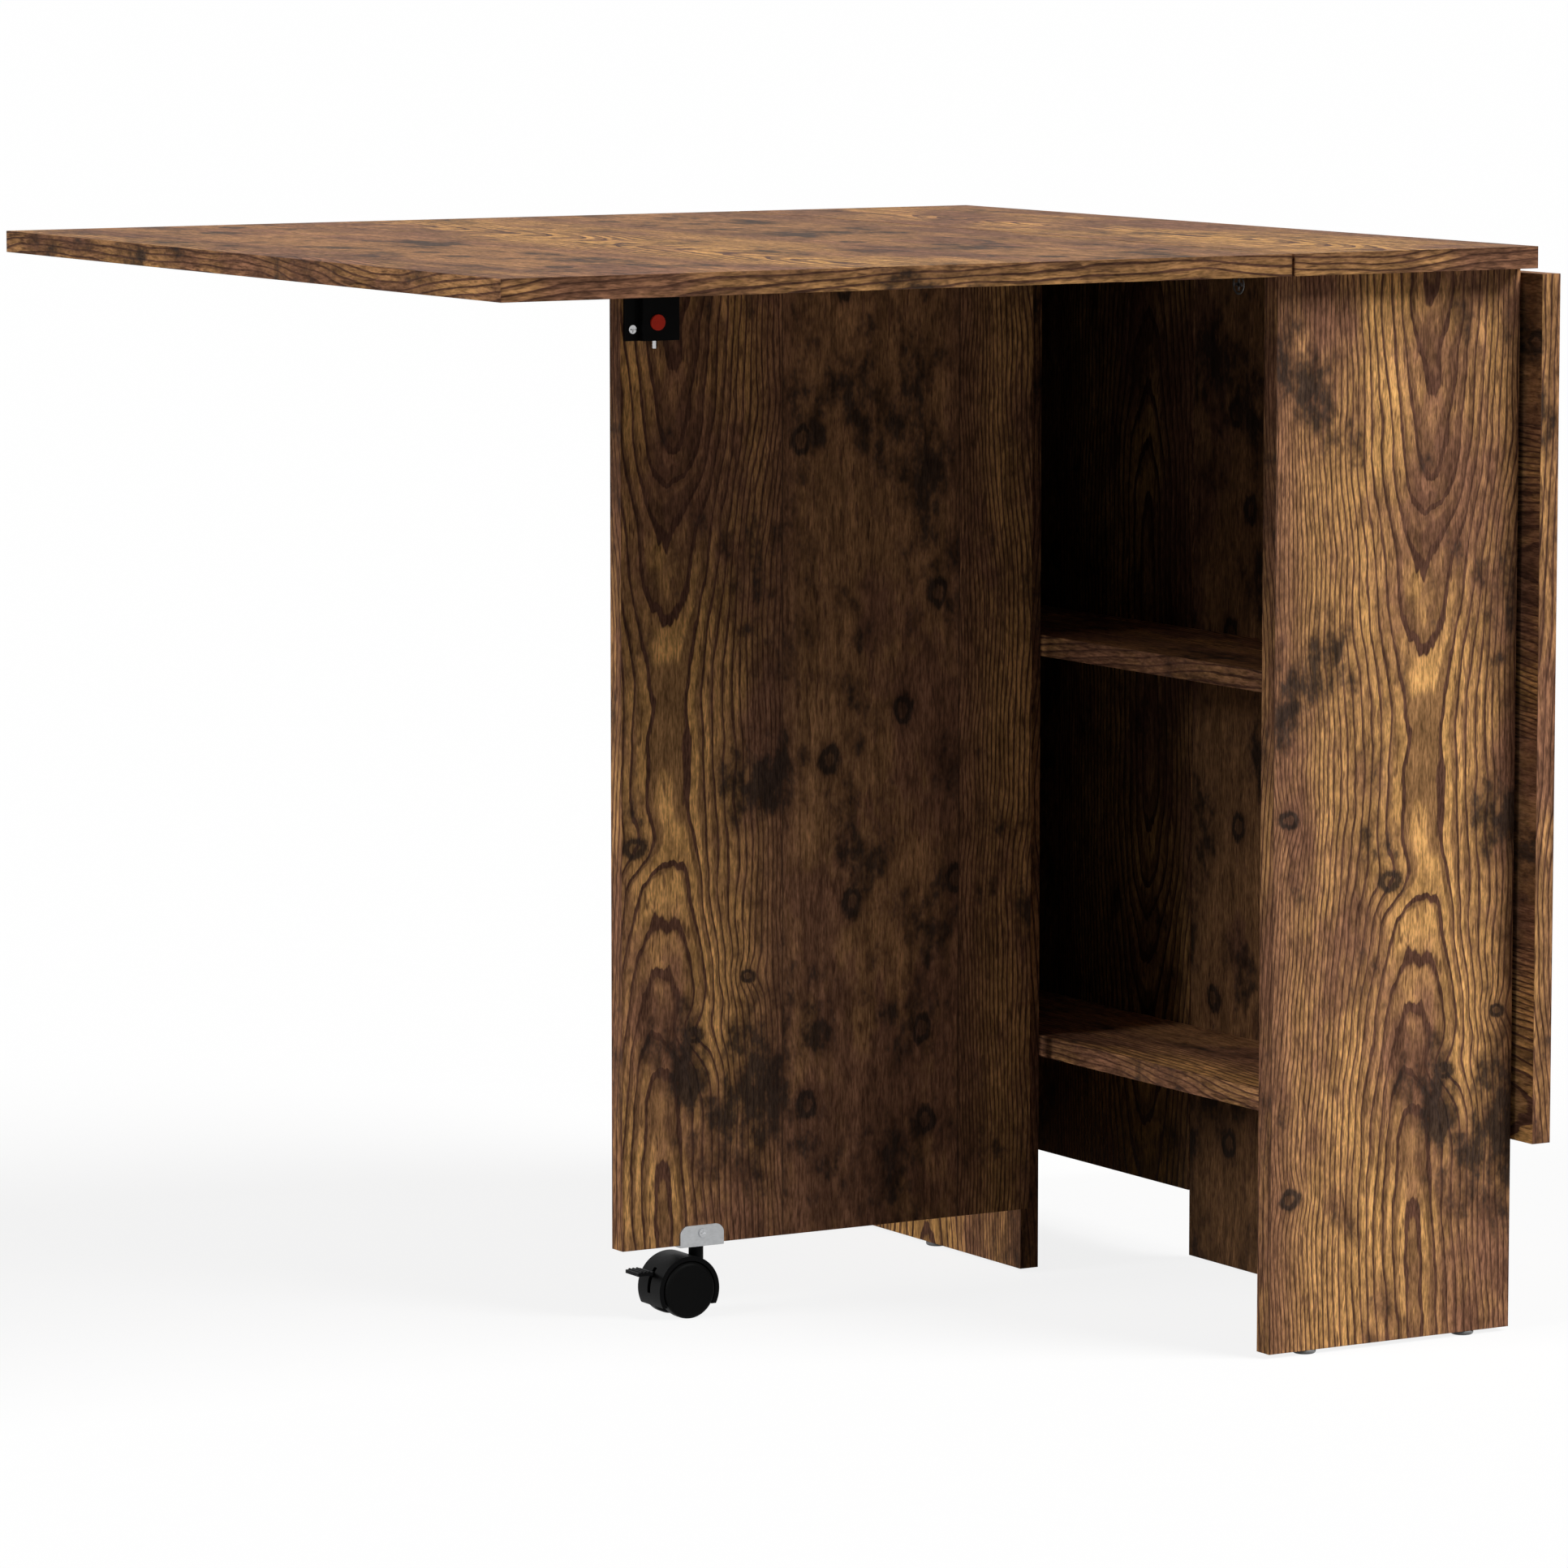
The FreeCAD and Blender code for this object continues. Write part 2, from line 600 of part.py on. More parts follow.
pedal_solid = fuse(pedal_pieces).cut(pedal_bore)

# Axle and pedal pin
axle_half = Y_AXIS * (wheel_outer - wheel_face_wall - seat_gap)
axle = rod(wheel_centre - axle_half, wheel_centre + axle_half, axle_radius)
pedal_pin = rod(pedal_pivot - web_half, pedal_pivot + web_half, pedal_pin_radius)


# Wheels, turned about the axle, with a bevelled tread and a dished face over a blind bore
def wheel(outward):
    """One wheel, with its face along the given direction of the axle."""
    bore = axle_radius + pin_fit
    tread_in = wheel_edge / 2
    face_rim = wheel_radius - wheel_rim
    outline = [
        (bore, wheel_inner),
        (wheel_radius - tread_in, wheel_inner),
        (wheel_radius, wheel_inner + tread_in),
        (wheel_radius, wheel_outer - wheel_edge),
        (wheel_radius - wheel_edge, wheel_outer),
        (face_rim, wheel_outer),
        (face_rim - wheel_dish, wheel_outer - wheel_dish),
        (0, wheel_outer - wheel_dish),
        (0, wheel_outer - wheel_face_wall),
        (bore, wheel_outer - wheel_face_wall),
    ]
    points = [wheel_centre + X_AXIS * radius + outward * along for radius, along in outline]
    return Part.Face(Part.makePolygon(points + points[:1])).revolve(wheel_centre, Y_AXIS, 360)


# Gate
bores["gate"].extend(gate_bores)
gate_solid = block((gate_free_end, gate_hinge_end), (gate_near, gate_far), (gate_bottom, gate_top))
gate_solid = gate_solid.cut(bores["gate"])

os.makedirs("parts", exist_ok=True)

# Cabinet nodes
save("centre_top", [top_solid])
save("front_end_panel", [half_turn(panel_solid)])
save("rear_end_panel", [panel_solid])
save("left_side_wall", [wall_solid])
save("right_side_wall", [half_turn(wall_solid)])
save("upper_shelf", [shelf_solids["upper_shelf"]])
save("lower_shelf", [shelf_solids["lower_shelf"]])
save("floor_glides", both_sides(glides))
save("cam_locks", both_sides(cam_locks))
save("cam_bolts", both_sides(cam_bolts))
save("shelf_dowels", both_sides(dowels))
save("leaf_hinge_top_plates", both_sides(top_plates))
save("leaf_hinge_pins", both_sides(leaf_pins))
save("leaf_hinge_top_screws", both_sides(top_screws))
save("gate_hinge_wall_plates", both_sides(wall_plates))
save("gate_hinge_pins", both_sides(gate_pins))
save("gate_hinge_wall_screws", both_sides(wall_screws))

# Leaf nodes, made for the raised left leaf and dropped for the right one
leaf_nodes = {
    "leaf": [leaf_solid],
    "leaf_hinge_plates": leaf_plates,
    "leaf_screws": leaf_screws + catch_screws,
    "latch_catch": [catch_solid],
}
for name, shapes in leaf_nodes.items():
    save("left_" + name, shapes)
    save("right_" + name, [drop_leaf(shape) for shape in shapes])

# Gate nodes, made for the open left gate and closed for the right one
gate_nodes = {
    "gate": [gate_solid],
    "gate_hinge_plates": gate_plates,
    "gate_hinge_screws": gate_screws,
    "latch_housing": [housing_solid],
    "latch_screws": latch_screws,
    "latch_button": [button_solid],
    "latch_bolt": [bolt_solid],
    "latch_spring": [spring_solid],
    "caster_bracket": [bracket_solid],
    "caster_bracket_screws": bracket_screws,
    "caster_stem": [stem_solid],
    "caster_hood": [hood_solid],
    "caster_pins": [axle, pedal_pin],
    "caster_near_wheel": [wheel(-Y_AXIS)],
    "caster_far_wheel": [wheel(Y_AXIS)],
    "caster_brake_pedal": [pedal_solid],
}
for name, shapes in gate_nodes.items():
    save("left_" + name, shapes)
    save("right_" + name, [close_gate(shape) for shape in shapes])
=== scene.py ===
import json
import math
from collections import namedtuple

import bmesh
import bpy
from bpy.props import FloatProperty, FloatVectorProperty, IntProperty, PointerProperty
from mathutils import Matrix, Vector

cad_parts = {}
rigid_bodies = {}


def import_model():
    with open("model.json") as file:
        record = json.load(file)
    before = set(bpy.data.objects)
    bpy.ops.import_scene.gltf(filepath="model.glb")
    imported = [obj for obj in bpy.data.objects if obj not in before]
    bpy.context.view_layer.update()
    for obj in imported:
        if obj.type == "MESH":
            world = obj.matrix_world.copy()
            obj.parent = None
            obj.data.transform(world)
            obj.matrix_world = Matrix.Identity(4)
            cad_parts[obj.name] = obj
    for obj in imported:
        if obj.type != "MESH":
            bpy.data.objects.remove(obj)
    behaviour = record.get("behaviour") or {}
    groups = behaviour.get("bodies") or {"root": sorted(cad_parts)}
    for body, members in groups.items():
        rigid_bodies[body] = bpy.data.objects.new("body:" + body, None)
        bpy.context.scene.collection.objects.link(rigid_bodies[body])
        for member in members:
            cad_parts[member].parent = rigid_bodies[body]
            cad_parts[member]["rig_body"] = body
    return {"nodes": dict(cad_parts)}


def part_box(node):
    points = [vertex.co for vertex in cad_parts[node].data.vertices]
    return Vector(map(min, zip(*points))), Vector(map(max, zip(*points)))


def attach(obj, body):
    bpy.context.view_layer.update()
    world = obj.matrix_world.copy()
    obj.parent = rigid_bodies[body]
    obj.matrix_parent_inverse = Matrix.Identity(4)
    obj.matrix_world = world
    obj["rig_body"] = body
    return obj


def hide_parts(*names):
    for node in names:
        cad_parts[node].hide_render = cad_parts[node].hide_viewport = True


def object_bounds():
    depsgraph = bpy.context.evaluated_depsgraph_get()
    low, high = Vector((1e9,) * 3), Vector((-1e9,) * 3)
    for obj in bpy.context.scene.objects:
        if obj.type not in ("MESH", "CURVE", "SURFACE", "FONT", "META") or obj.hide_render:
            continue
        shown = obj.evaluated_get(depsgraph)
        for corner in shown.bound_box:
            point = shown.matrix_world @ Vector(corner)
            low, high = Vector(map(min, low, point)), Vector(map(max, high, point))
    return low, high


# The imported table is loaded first, so that every size can come from it
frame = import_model()
CAD_LOW, CAD_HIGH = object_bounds()

bl_info = {
    "name": "Drop-leaf table dressing",
    "version": (1, 0, 0),
    "blender": (4, 5, 0),
    "location": "View3D > Sidebar > Table",
    "description": "Dresses the packed drop-leaf table in printed boards and finished hardware",
    "category": "Object",
}

SIDES = ("left", "right")
AXES = {"X": 0, "Y": 1, "Z": 2}
WHITE = (1.0, 1.0, 1.0, 1.0)

# A board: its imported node, the axes of its faces and its grain, its place on the print sheet, and how light
# its low face, its high face and its bands along and across the grain are
Board = namedtuple("Board", "node face grain start low_tone high_tone side_tone end_tone")

# The low faces of the rear end panel, the right side wall, the right gate and the right leaf look into the
# cabinet, and their low tones are darkened with painted shade
BOARDS = (
    Board("centre_top", "Z", "Y", (1.10, 0.20), 0.8, 0.8, 0.75, 0.75),
    Board("left_leaf", "Z", "Y", (0.52, 0.30), 0.72, 0.72, 0.92, 0.66),
    Board("right_leaf", "X", "Y", (2.60, 0.10), 0.65, 0.75, 1.0, 1.0),
    Board("front_end_panel", "Y", "Z", (0.0, 0.0), 1.0, 1.0, 0.85, 0.85),
    Board("rear_end_panel", "Y", "Z", (0.72, 0.0), 0.7, 1.0, 0.85, 0.85),
    Board("left_side_wall", "X", "Z", (1.44, 0.12), 0.8, 0.8, 0.7, 0.7),
    Board("right_side_wall", "X", "Z", (2.16, 0.31), 0.46, 0.8, 0.7, 0.7),
    Board("upper_shelf", "Z", "Y", (3.20, 0.0), 0.9, 0.9, 0.75, 0.75),
    Board("lower_shelf", "Z", "Y", (3.40, 0.4), 0.9, 0.9, 0.85, 0.85),
    Board("left_gate", "Y", "Z", (0.086, 0.036), 0.9, 0.9, 1.0, 1.0),
    Board("right_gate", "X", "Z", (4.0, 0.036), 0.38, 0.9, 1.0, 1.0),
)

# Place across the print where it runs straight and the edge bands are cut
BAND_ROW = 0.545

# How far end bands are moved along the print, and faces that look back across it
END_BAND_SHIFT = 1.7
REAR_FACE_SHIFT = 1.8

# Tone of the second piece of the raised leaf's front band, against the first
SECOND_BAND_TONE = 1.08

# Edges turned by more than this are rounded. A plate's cut corners turn by half a right angle and are short.
SHARP_ANGLE = math.radians(38.0)
CORNER_ANGLE = math.radians(45.0)
CORNER_ANGLE_SPREAD = 0.1
PLATE_LIMIT = 0.0025

# Packed points nearer than this are one point, and faces turned by less than this are one face
SAME_POINT = 1e-6
SAME_FACE = math.radians(0.5)

# A pattern of the print: its waves per metre across and along the grain, its detail and its roughness
Pattern = namedtuple("Pattern", "across along detail roughness")

HEART_WANDER = Pattern(0.0, 2.3, 1.0, 0.5)
HEART_WIGGLE = Pattern(30.0, 9.0, 2.0, 0.5)
CUT_DEPTH = Pattern(0.0, 7.0, 1.0, 0.5)
RING_BENDS = Pattern(14.0, 5.0, 3.0, 0.6)
RING_FRAY = Pattern(240.0, 45.0, 2.0, 0.5)
RING_WIDTHS = Pattern(18.0, 6.0, 2.0, 0.5)
DULL_PARTS = Pattern(9.0, 4.0, 5.0, 0.66)
FIBRES = Pattern(780.0, 115.0, 2.0, 0.6)
FLECKS = Pattern(330.0, 45.0, 2.0, 0.5)
SOOT_DRIFT = Pattern(17.0, 9.0, 5.0, 0.68)
SOOT_PATCHES = Pattern(105.0, 52.0, 3.0, 0.7)
FINE_LINES = Pattern(150.0, 7.0, 3.0, 0.65)
MOTTLE = Pattern(60.0, 28.0, 4.0, 0.65)

# Step in the noise from one plank to the next
PLANK_STEP = 5.3

# A number that differs from plank to plank: its step from one plank to the next, and its start
Draw = namedtuple("Draw", "step start")

LEAN_DRAW = Draw(0.618, 0.707)
ARCH_DRAW = Draw(0.381, 0.0)
TONE_DRAW = Draw(0.73, 0.70)

# How widely a plank's heart leans, wanders and wiggles across the plank, in metres
LEAN_WIDTH = 0.07
WANDER_WIDTH = 0.04
WIGGLE_WIDTH = 0.012

# Distance of the cut from the heart, in metres: its middle, its swing from arch to arch and its unevenness
CUT_MIDDLE = 0.026
CUT_SWING = 0.024
CUT_WIDTH = 0.024

# Rings within a radius in metres: so many times the radius, and so many times its square
RINGS_BY_RADIUS = 75.0
RINGS_BY_SQUARE = 1050.0

# How many rings' pitch bends, frayed edges and knots move a ring by, and how soon a knot's pull fades
BEND_TURNS = 2.2
FRAY_TURNS = 0.28
KNOT_TURNS = 1.4
KNOT_FADE = 0.12

# Distance from the heart, in metres, at which the figure turns into the close rings of a plank's side
SIDE_START = 0.025
SIDE_END = 0.085

# A level of the rings: in the middle of a plank, and how much less it is at the sides
Level = namedtuple("Level", "middle loss")

BODY_DARK = Level(0.68, 0.40)
LINE_START = Level(0.68, 0.10)
LINE_END = Level(0.80, 0.08)
RING_SHARE = Level(1.0, 0.06)

# Part of a ring's pitch in which its body grows dark, and how much weaker rings are in narrow planks
BODY_RISE = 0.16
NARROW_LOSS = 0.65

# A smooth change from start to end as a value goes from low to high
Ramp = namedtuple("Ramp", "low high start end")

RING_BODY = Ramp(0.33, 0.67, 0.40, 0.80)
RING_FALL = Ramp(0.95, 1.0, 1.0, 0.0)
DULL = Ramp(0.40, 0.60, 0.0, 1.0)
DULL_EDGE = Ramp(0.0, 0.05, 0.9, 0.0)
FLECK = Ramp(0.57, 0.66, 0.0, 0.7)
SMOKE = Ramp(0.46, 0.62, 0.0, 0.55)
STAIN = Ramp(0.55, 0.69, 0.0, 0.88)
KNOT_HALO = Ramp(0.7, 2.4, 0.6, 0.0)
KNOT_RIM = Ramp(0.12, 0.50, 0.88, 0.0)
KNOT_HEART = Ramp(0.3, 0.9, 0.45, 0.0)
LINE_SHADE = Ramp(0.30, 0.70, 0.76, 1.20)
MOTTLE_SHADE = Ramp(0.30, 0.70, 0.78, 1.22)
FIBRE_SHADE = Ramp(0.30, 0.70, 0.60, 1.40)
BEECH_SHADE = Ramp(0.35, 0.70, 1.05, 0.60)

# How dull narrow planks and the sides of planks are
NARROW_DULL = 0.7
SIDE_DULL = 0.25

# Soot: its level in wide planks, what narrow ones add, how far fibres and patches sway it, what a cloud adds
SOOT_BASE = -0.025
NARROW_SOOT = 0.055
FIBRE_SOOT = 0.24
PATCH_SOOT = 0.40
CLOUD_SOOT = 0.20

# Half the width of a plank joint in metres, and how dark it is
HALF_JOINT = 0.0006
JOINT_DARK = 0.6

# Radius of a knot's dark rim and how widely the rim is frayed, in knot radii
RIM_RADIUS = 0.75
RIM_FRAY = 1.5

# Tone of the darkest plank, and how much lighter the lightest is
PLANK_TONE = 0.98
PLANK_TONE_RISE = 0.16

# A mark of the print's first plank: its place across and along and its radius, in metres
Mark = namedtuple("Mark", "across along radius")

KNOTS = (
    Mark(0.013, 0.365, 0.008),
    Mark(0.096, 0.318, 0.010),
    Mark(0.143, 0.184, 0.008),
    Mark(0.187, 0.222, 0.006),
    Mark(0.016, 0.105, 0.009),
)
CLOUDS = (
    Mark(0.176, 0.150, 0.044),
    Mark(0.026, 0.455, 0.032),
    Mark(0.185, 0.360, 0.024),
    Mark(0.012, 0.660, 0.024),
)

# Flatness of the marks along the grain: knots are shorter along it than across it, clouds longer
KNOT_FLATNESS = 1.3
CLOUD_FLATNESS = 0.8

# Knots of the narrow planks: cells per metre, their stretch along the grain, knot radii in a cell, the share
# of cells without a knot, and a distance in radii beyond any knot
KNOT_CELLS = 11.0
KNOT_CELL_STRETCH = 0.8
KNOT_CELL_RADII = 11.0
KNOTLESS_SHARE = 0.45
KNOTLESS_RADII = 20.0

# Roughness of the printed boards, what a full fibre takes from it, and the boards' gloss
WOOD_ROUGHNESS = 0.72
FIBRE_POLISH = 0.25
WOOD_GLOSS = 0.03

# A grain in a piece's own axes: its waves per metre along each axis, its detail and its roughness
Grain = namedtuple("Grain", "waves detail roughness")

MOULD_PITS = Grain((2600.0, 2600.0, 2600.0), 2.0, 0.6)
HANDLING_MARKS = Grain((90.0, 90.0, 90.0), 4.0, 0.6)
ROLLING_LINES = Grain((300.0, 1900.0, 1900.0), 2.0, 0.6)
COAT_CLOUDS = Grain((260.0, 260.0, 260.0), 3.0, 0.55)
BEECH_FLECKS = Grain((1500.0, 220.0, 1500.0), 3.0, 0.6)
FLOOR_SPECKLE = Grain((40.0, 40.0, 40.0), 2.0, 0.5)

# A finish: its lightness without grain, what full grain adds, and how widely grain sways its roughness
Finish = namedtuple("Finish", "light grain_light sway")

PLASTIC = Finish(0.60, 0.32, 0.24)
METAL = Finish(0.64, 0.36, 0.18)

# Weight of handling marks against pits, roughness of beech and its sway, and sway of the floor's tint
MARK_WEIGHT = 1.5
BEECH_ROUGHNESS = 0.6
BEECH_SWAY = 0.2
SPECKLE_SWAY = 0.04

# A studio lamp: its name, its place and its width as angles in degrees, and the name of its strength
Lamp = namedtuple("Lamp", "name azimuth elevation softness strength")

LAMPS = (
    Lamp("key_lamp", 40.0, 46.0, 35.0, "key_light"),
    Lamp("side_lamp", -95.0, 28.0, 30.0, "side_light"),
)

# Width of the camera's sensor in millimetres
SENSOR_WIDTH = 36.0

# Faces across rounded edges, hood edges and plate corners, round wheels and cams, along a spring's turn and
# round its wire
EDGE_FACES = 2
HOOD_EDGE_FACES = 3
CORNER_FACES = 4
WHEEL_FACES = 72
CAM_FACES = 32
TURN_FACES = 20
WIRE_FACES = 8


def colour_property(name, description, default):
    """A colour that a user may change, as linear red, green and blue."""
    return FloatVectorProperty(
        name=name, description=description, subtype="COLOR", size=3, min=0.0, max=1.0, default=default
    )


def number_property(name, description, default, **settings):
    """A number that a user may change."""
    return FloatProperty(name=name, description=description, default=default, **settings)


def length_property(name, description, default):
    """A length that a user may change, in metres."""
    return number_property(
        name, description, default, subtype="DISTANCE", unit="LENGTH", min=0.0, precision=5
    )


def angle_property(name, description, degrees):
    """An angle that a user may change."""
    return number_property(name, description, math.radians(degrees), subtype="ANGLE", unit="ROTATION")


class TableWood(bpy.types.PropertyGroup):
    """Colours and sizes of the old-wood print on every board."""

    honey: colour_property("Honey", "Lightest wood between two rings", (0.74, 0.392, 0.135))
    brown: colour_property("Brown", "Wood between two rings in the dull parts", (0.31, 0.146, 0.080))
    umber: colour_property("Umber", "Dark wood of the rings", (0.122, 0.056, 0.035))
    soot: colour_property("Soot", "Stains, knots and plank joints", (0.036, 0.025, 0.02))
    wide_plank: length_property("Wide plank", "Width of every other plank in the print", 0.215)
    narrow_plank: length_property("Narrow plank", "Width of the planks between", 0.145)
    arch_length: length_property("Arch length", "Half the distance at which the arched figure repeats", 0.400)
    relief: length_property("Relief", "Depth of the pressed grain", 0.0003)


class TableBoards(bpy.types.PropertyGroup):
    """Sizes of the boards' edges."""

    band: length_property("Edge band", "Thickness of the glued edge bands", 0.0006)
    arris: length_property("Arris", "Rounding of the boards' corners", 0.0002)
    band_joint: number_property(
        "Band joint", "Place across the raised leaf where its front band changes print", -0.115,
        subtype="DISTANCE", unit="LENGTH"
    )


class TableFittings(bpy.types.PropertyGroup):
    """Colours and sizes of the metal and plastic pieces."""

    steel: colour_property("Steel", "Screws, pins and bolts", (0.56, 0.56, 0.57))
    zinc: colour_property("Zinc", "Caster brackets and hinges", (0.50, 0.51, 0.52))
    black: colour_property("Black", "Latch housings and wheels", (0.0045, 0.0045, 0.0045))
    hood: colour_property("Hood", "Caster hoods and pedals", (0.0030, 0.0030, 0.0032))
    red: colour_property("Red", "Release buttons", (0.95, 0.055, 0.027))
    grey: colour_property("Grey", "Floor glides", (0.20, 0.20, 0.20))
    beech: colour_property("Beech", "Shelf dowels", (0.52, 0.33, 0.17))
    metal_arris: length_property("Metal arris", "Rounding of metal edges", 0.0003)
    fine_arris: length_property("Fine arris", "Rounding of cam bolts and bracket screws", 0.0002)
    plastic_arris: length_property("Plastic arris", "Rounding of moulded edges", 0.0006)
    dowel_arris: length_property("Dowel arris", "Rounding of the shelf dowels' ends", 0.0005)
    bracket_corner: length_property("Bracket corner", "Rounding of the caster brackets' cut corners", 0.0019)
    wheel_rounding: length_property("Wheel rounding", "Rounding of a wheel's rim", 0.0028)
    wheel_bore: length_property("Wheel bore", "Radius of a wheel's hole for the axle", 0.0027)
    wheel_wall: length_property("Wheel wall", "Thickness of the face that closes the hole", 0.0015)
    wheel_dish: length_property("Wheel dish", "Depth of the step inside a wheel's rim", 0.0003)
    cam_proud: length_property("Cam proud", "Height of a cam lock's face above its board", 0.0002)
    spring_wire: length_property("Spring wire", "Radius of the latch springs' wire", 0.00035)
    spring_turns: IntProperty(
        name="Spring turns", description="Turns of wire in each latch spring", min=3, max=20, default=7
    )


class TableStage(bpy.types.PropertyGroup):
    """Camera, lamps and floor."""

    eye: FloatVectorProperty(
        name="Eye", description="Place of the camera", subtype="XYZ", unit="LENGTH", size=3,
        default=(-2.65423, -4.49093, 1.00385)
    )
    yaw: angle_property("Yaw", "Camera's turn to the right of the Y axis", 30.7045)
    pitch: angle_property("Pitch", "Camera's tilt above the horizon", -6.9387)
    lens: number_property(
        "Lens", "Focal length of the camera", 172.672, subtype="DISTANCE_CAMERA", unit="CAMERA"
    )
    key_light: number_property("Key light", "Strength of the lamp at the front right", 3.1, min=0.0)
    side_light: number_property("Side light", "Strength of the lamp at the left", 1.5, min=0.0)
    room_light: number_property("Room light", "Strength of the light from all round", 0.07, min=0.0)
    floor_colour: colour_property("Floor", "Pale floor as it lights the table from below", (0.28, 0.28, 0.28))
    floor_paint: colour_property("Floor paint", "Pale floor as the camera sees it", (0.97, 0.97, 0.97))
    floor_white: number_property(
        "Floor white", "Share of plain white in the floor as the camera sees it", 0.85,
        subtype="FACTOR", min=0.0, max=1.0
    )
    floor_size: length_property("Floor size", "Length of the floor's sides", 240.0)


class NodeSheet:
    """Adds and joins a material's nodes, so that a pattern reads like a sum."""

    def __init__(self, tree):
        self.tree = tree

    def join(self, value, socket):
        """Links a socket to a socket, or sets a number or colour on it."""
        if isinstance(value, bpy.types.NodeSocket):
            self.tree.links.new(value, socket)
        else:
            socket.default_value = value

    def add(self, kind, inputs, **settings):
        """A node of one kind, with its inputs and settings."""
        node = self.tree.nodes.new("ShaderNode" + kind)
        for key, value in settings.items():
            setattr(node, key, value)
        for key, value in inputs.items():
            self.join(value, node.inputs[key])
        return node

    def calc(self, operation, value, *others):
        """Arithmetic on one value alone, or on a row of values one after another."""
        if not others:
            return self.add("Math", {0: value}, operation=operation).outputs["Value"]
        for other in others:
            value = self.add("Math", {0: value, 1: other}, operation=operation).outputs["Value"]
        return value

    def scaled(self, value, factor, added=0.0):
        """A value times a factor, with something added."""
        inputs = {0: value, 1: factor, 2: added}
        return self.add("Math", inputs, operation="MULTIPLY_ADD").outputs["Value"]

    def sway(self, value, width, middle=0.0):
        """A value from 0 to 1 as a sway of some width about a middle."""
        return self.scaled(value, width, middle - width / 2.0)

    def length(self, first, second):
        """Length of a line with two parts at a right angle."""
        squares = self.calc("ADD", self.calc("MULTIPLY", first, first), self.calc("MULTIPLY", second, second))
        return self.calc("SQRT", squares)

    def step(self, value, low, high, start=0.0, end=1.0):
        """A smooth change from start to end as a value goes from low to high."""
        inputs = {"Value": value, "From Min": low, "From Max": high, "To Min": start, "To Max": end}
        return self.add("MapRange", inputs, interpolation_type="SMOOTHSTEP").outputs["Result"]

    def place(self, x, y, z=0.0):
        """A vector from three values."""
        return self.add("CombineXYZ", {"X": x, "Y": y, "Z": z}).outputs["Vector"]

    def noise(self, place, pattern):
        """Soft noise about one half, with a pattern's detail and roughness."""
        inputs = {"Vector": place, "Scale": 1.0, "Detail": pattern.detail, "Roughness": pattern.roughness}
        return self.add("TexNoise", inputs).outputs["Fac"]

    def grain(self, pattern):
        """Noise that is fixed to the piece."""
        place = self.add("TexCoord", {}).outputs["Object"]
        drawn = self.add("Mapping", {"Vector": place, "Scale": pattern.waves}).outputs["Vector"]
        return self.noise(drawn, pattern)

    def blend(self, share, first, second, way="MIX"):
        """Two colours mixed by a share."""
        inputs = {0: share, 6: first, 7: second}
        return self.add("Mix", inputs, data_type="RGBA", blend_type=way).outputs[2]

    def bump(self, height, distance, strength):
        """A normal pressed in by a height."""
        inputs = {"Height": height, "Distance": distance, "Strength": strength}
        return self.add("Bump", inputs).outputs["Normal"]


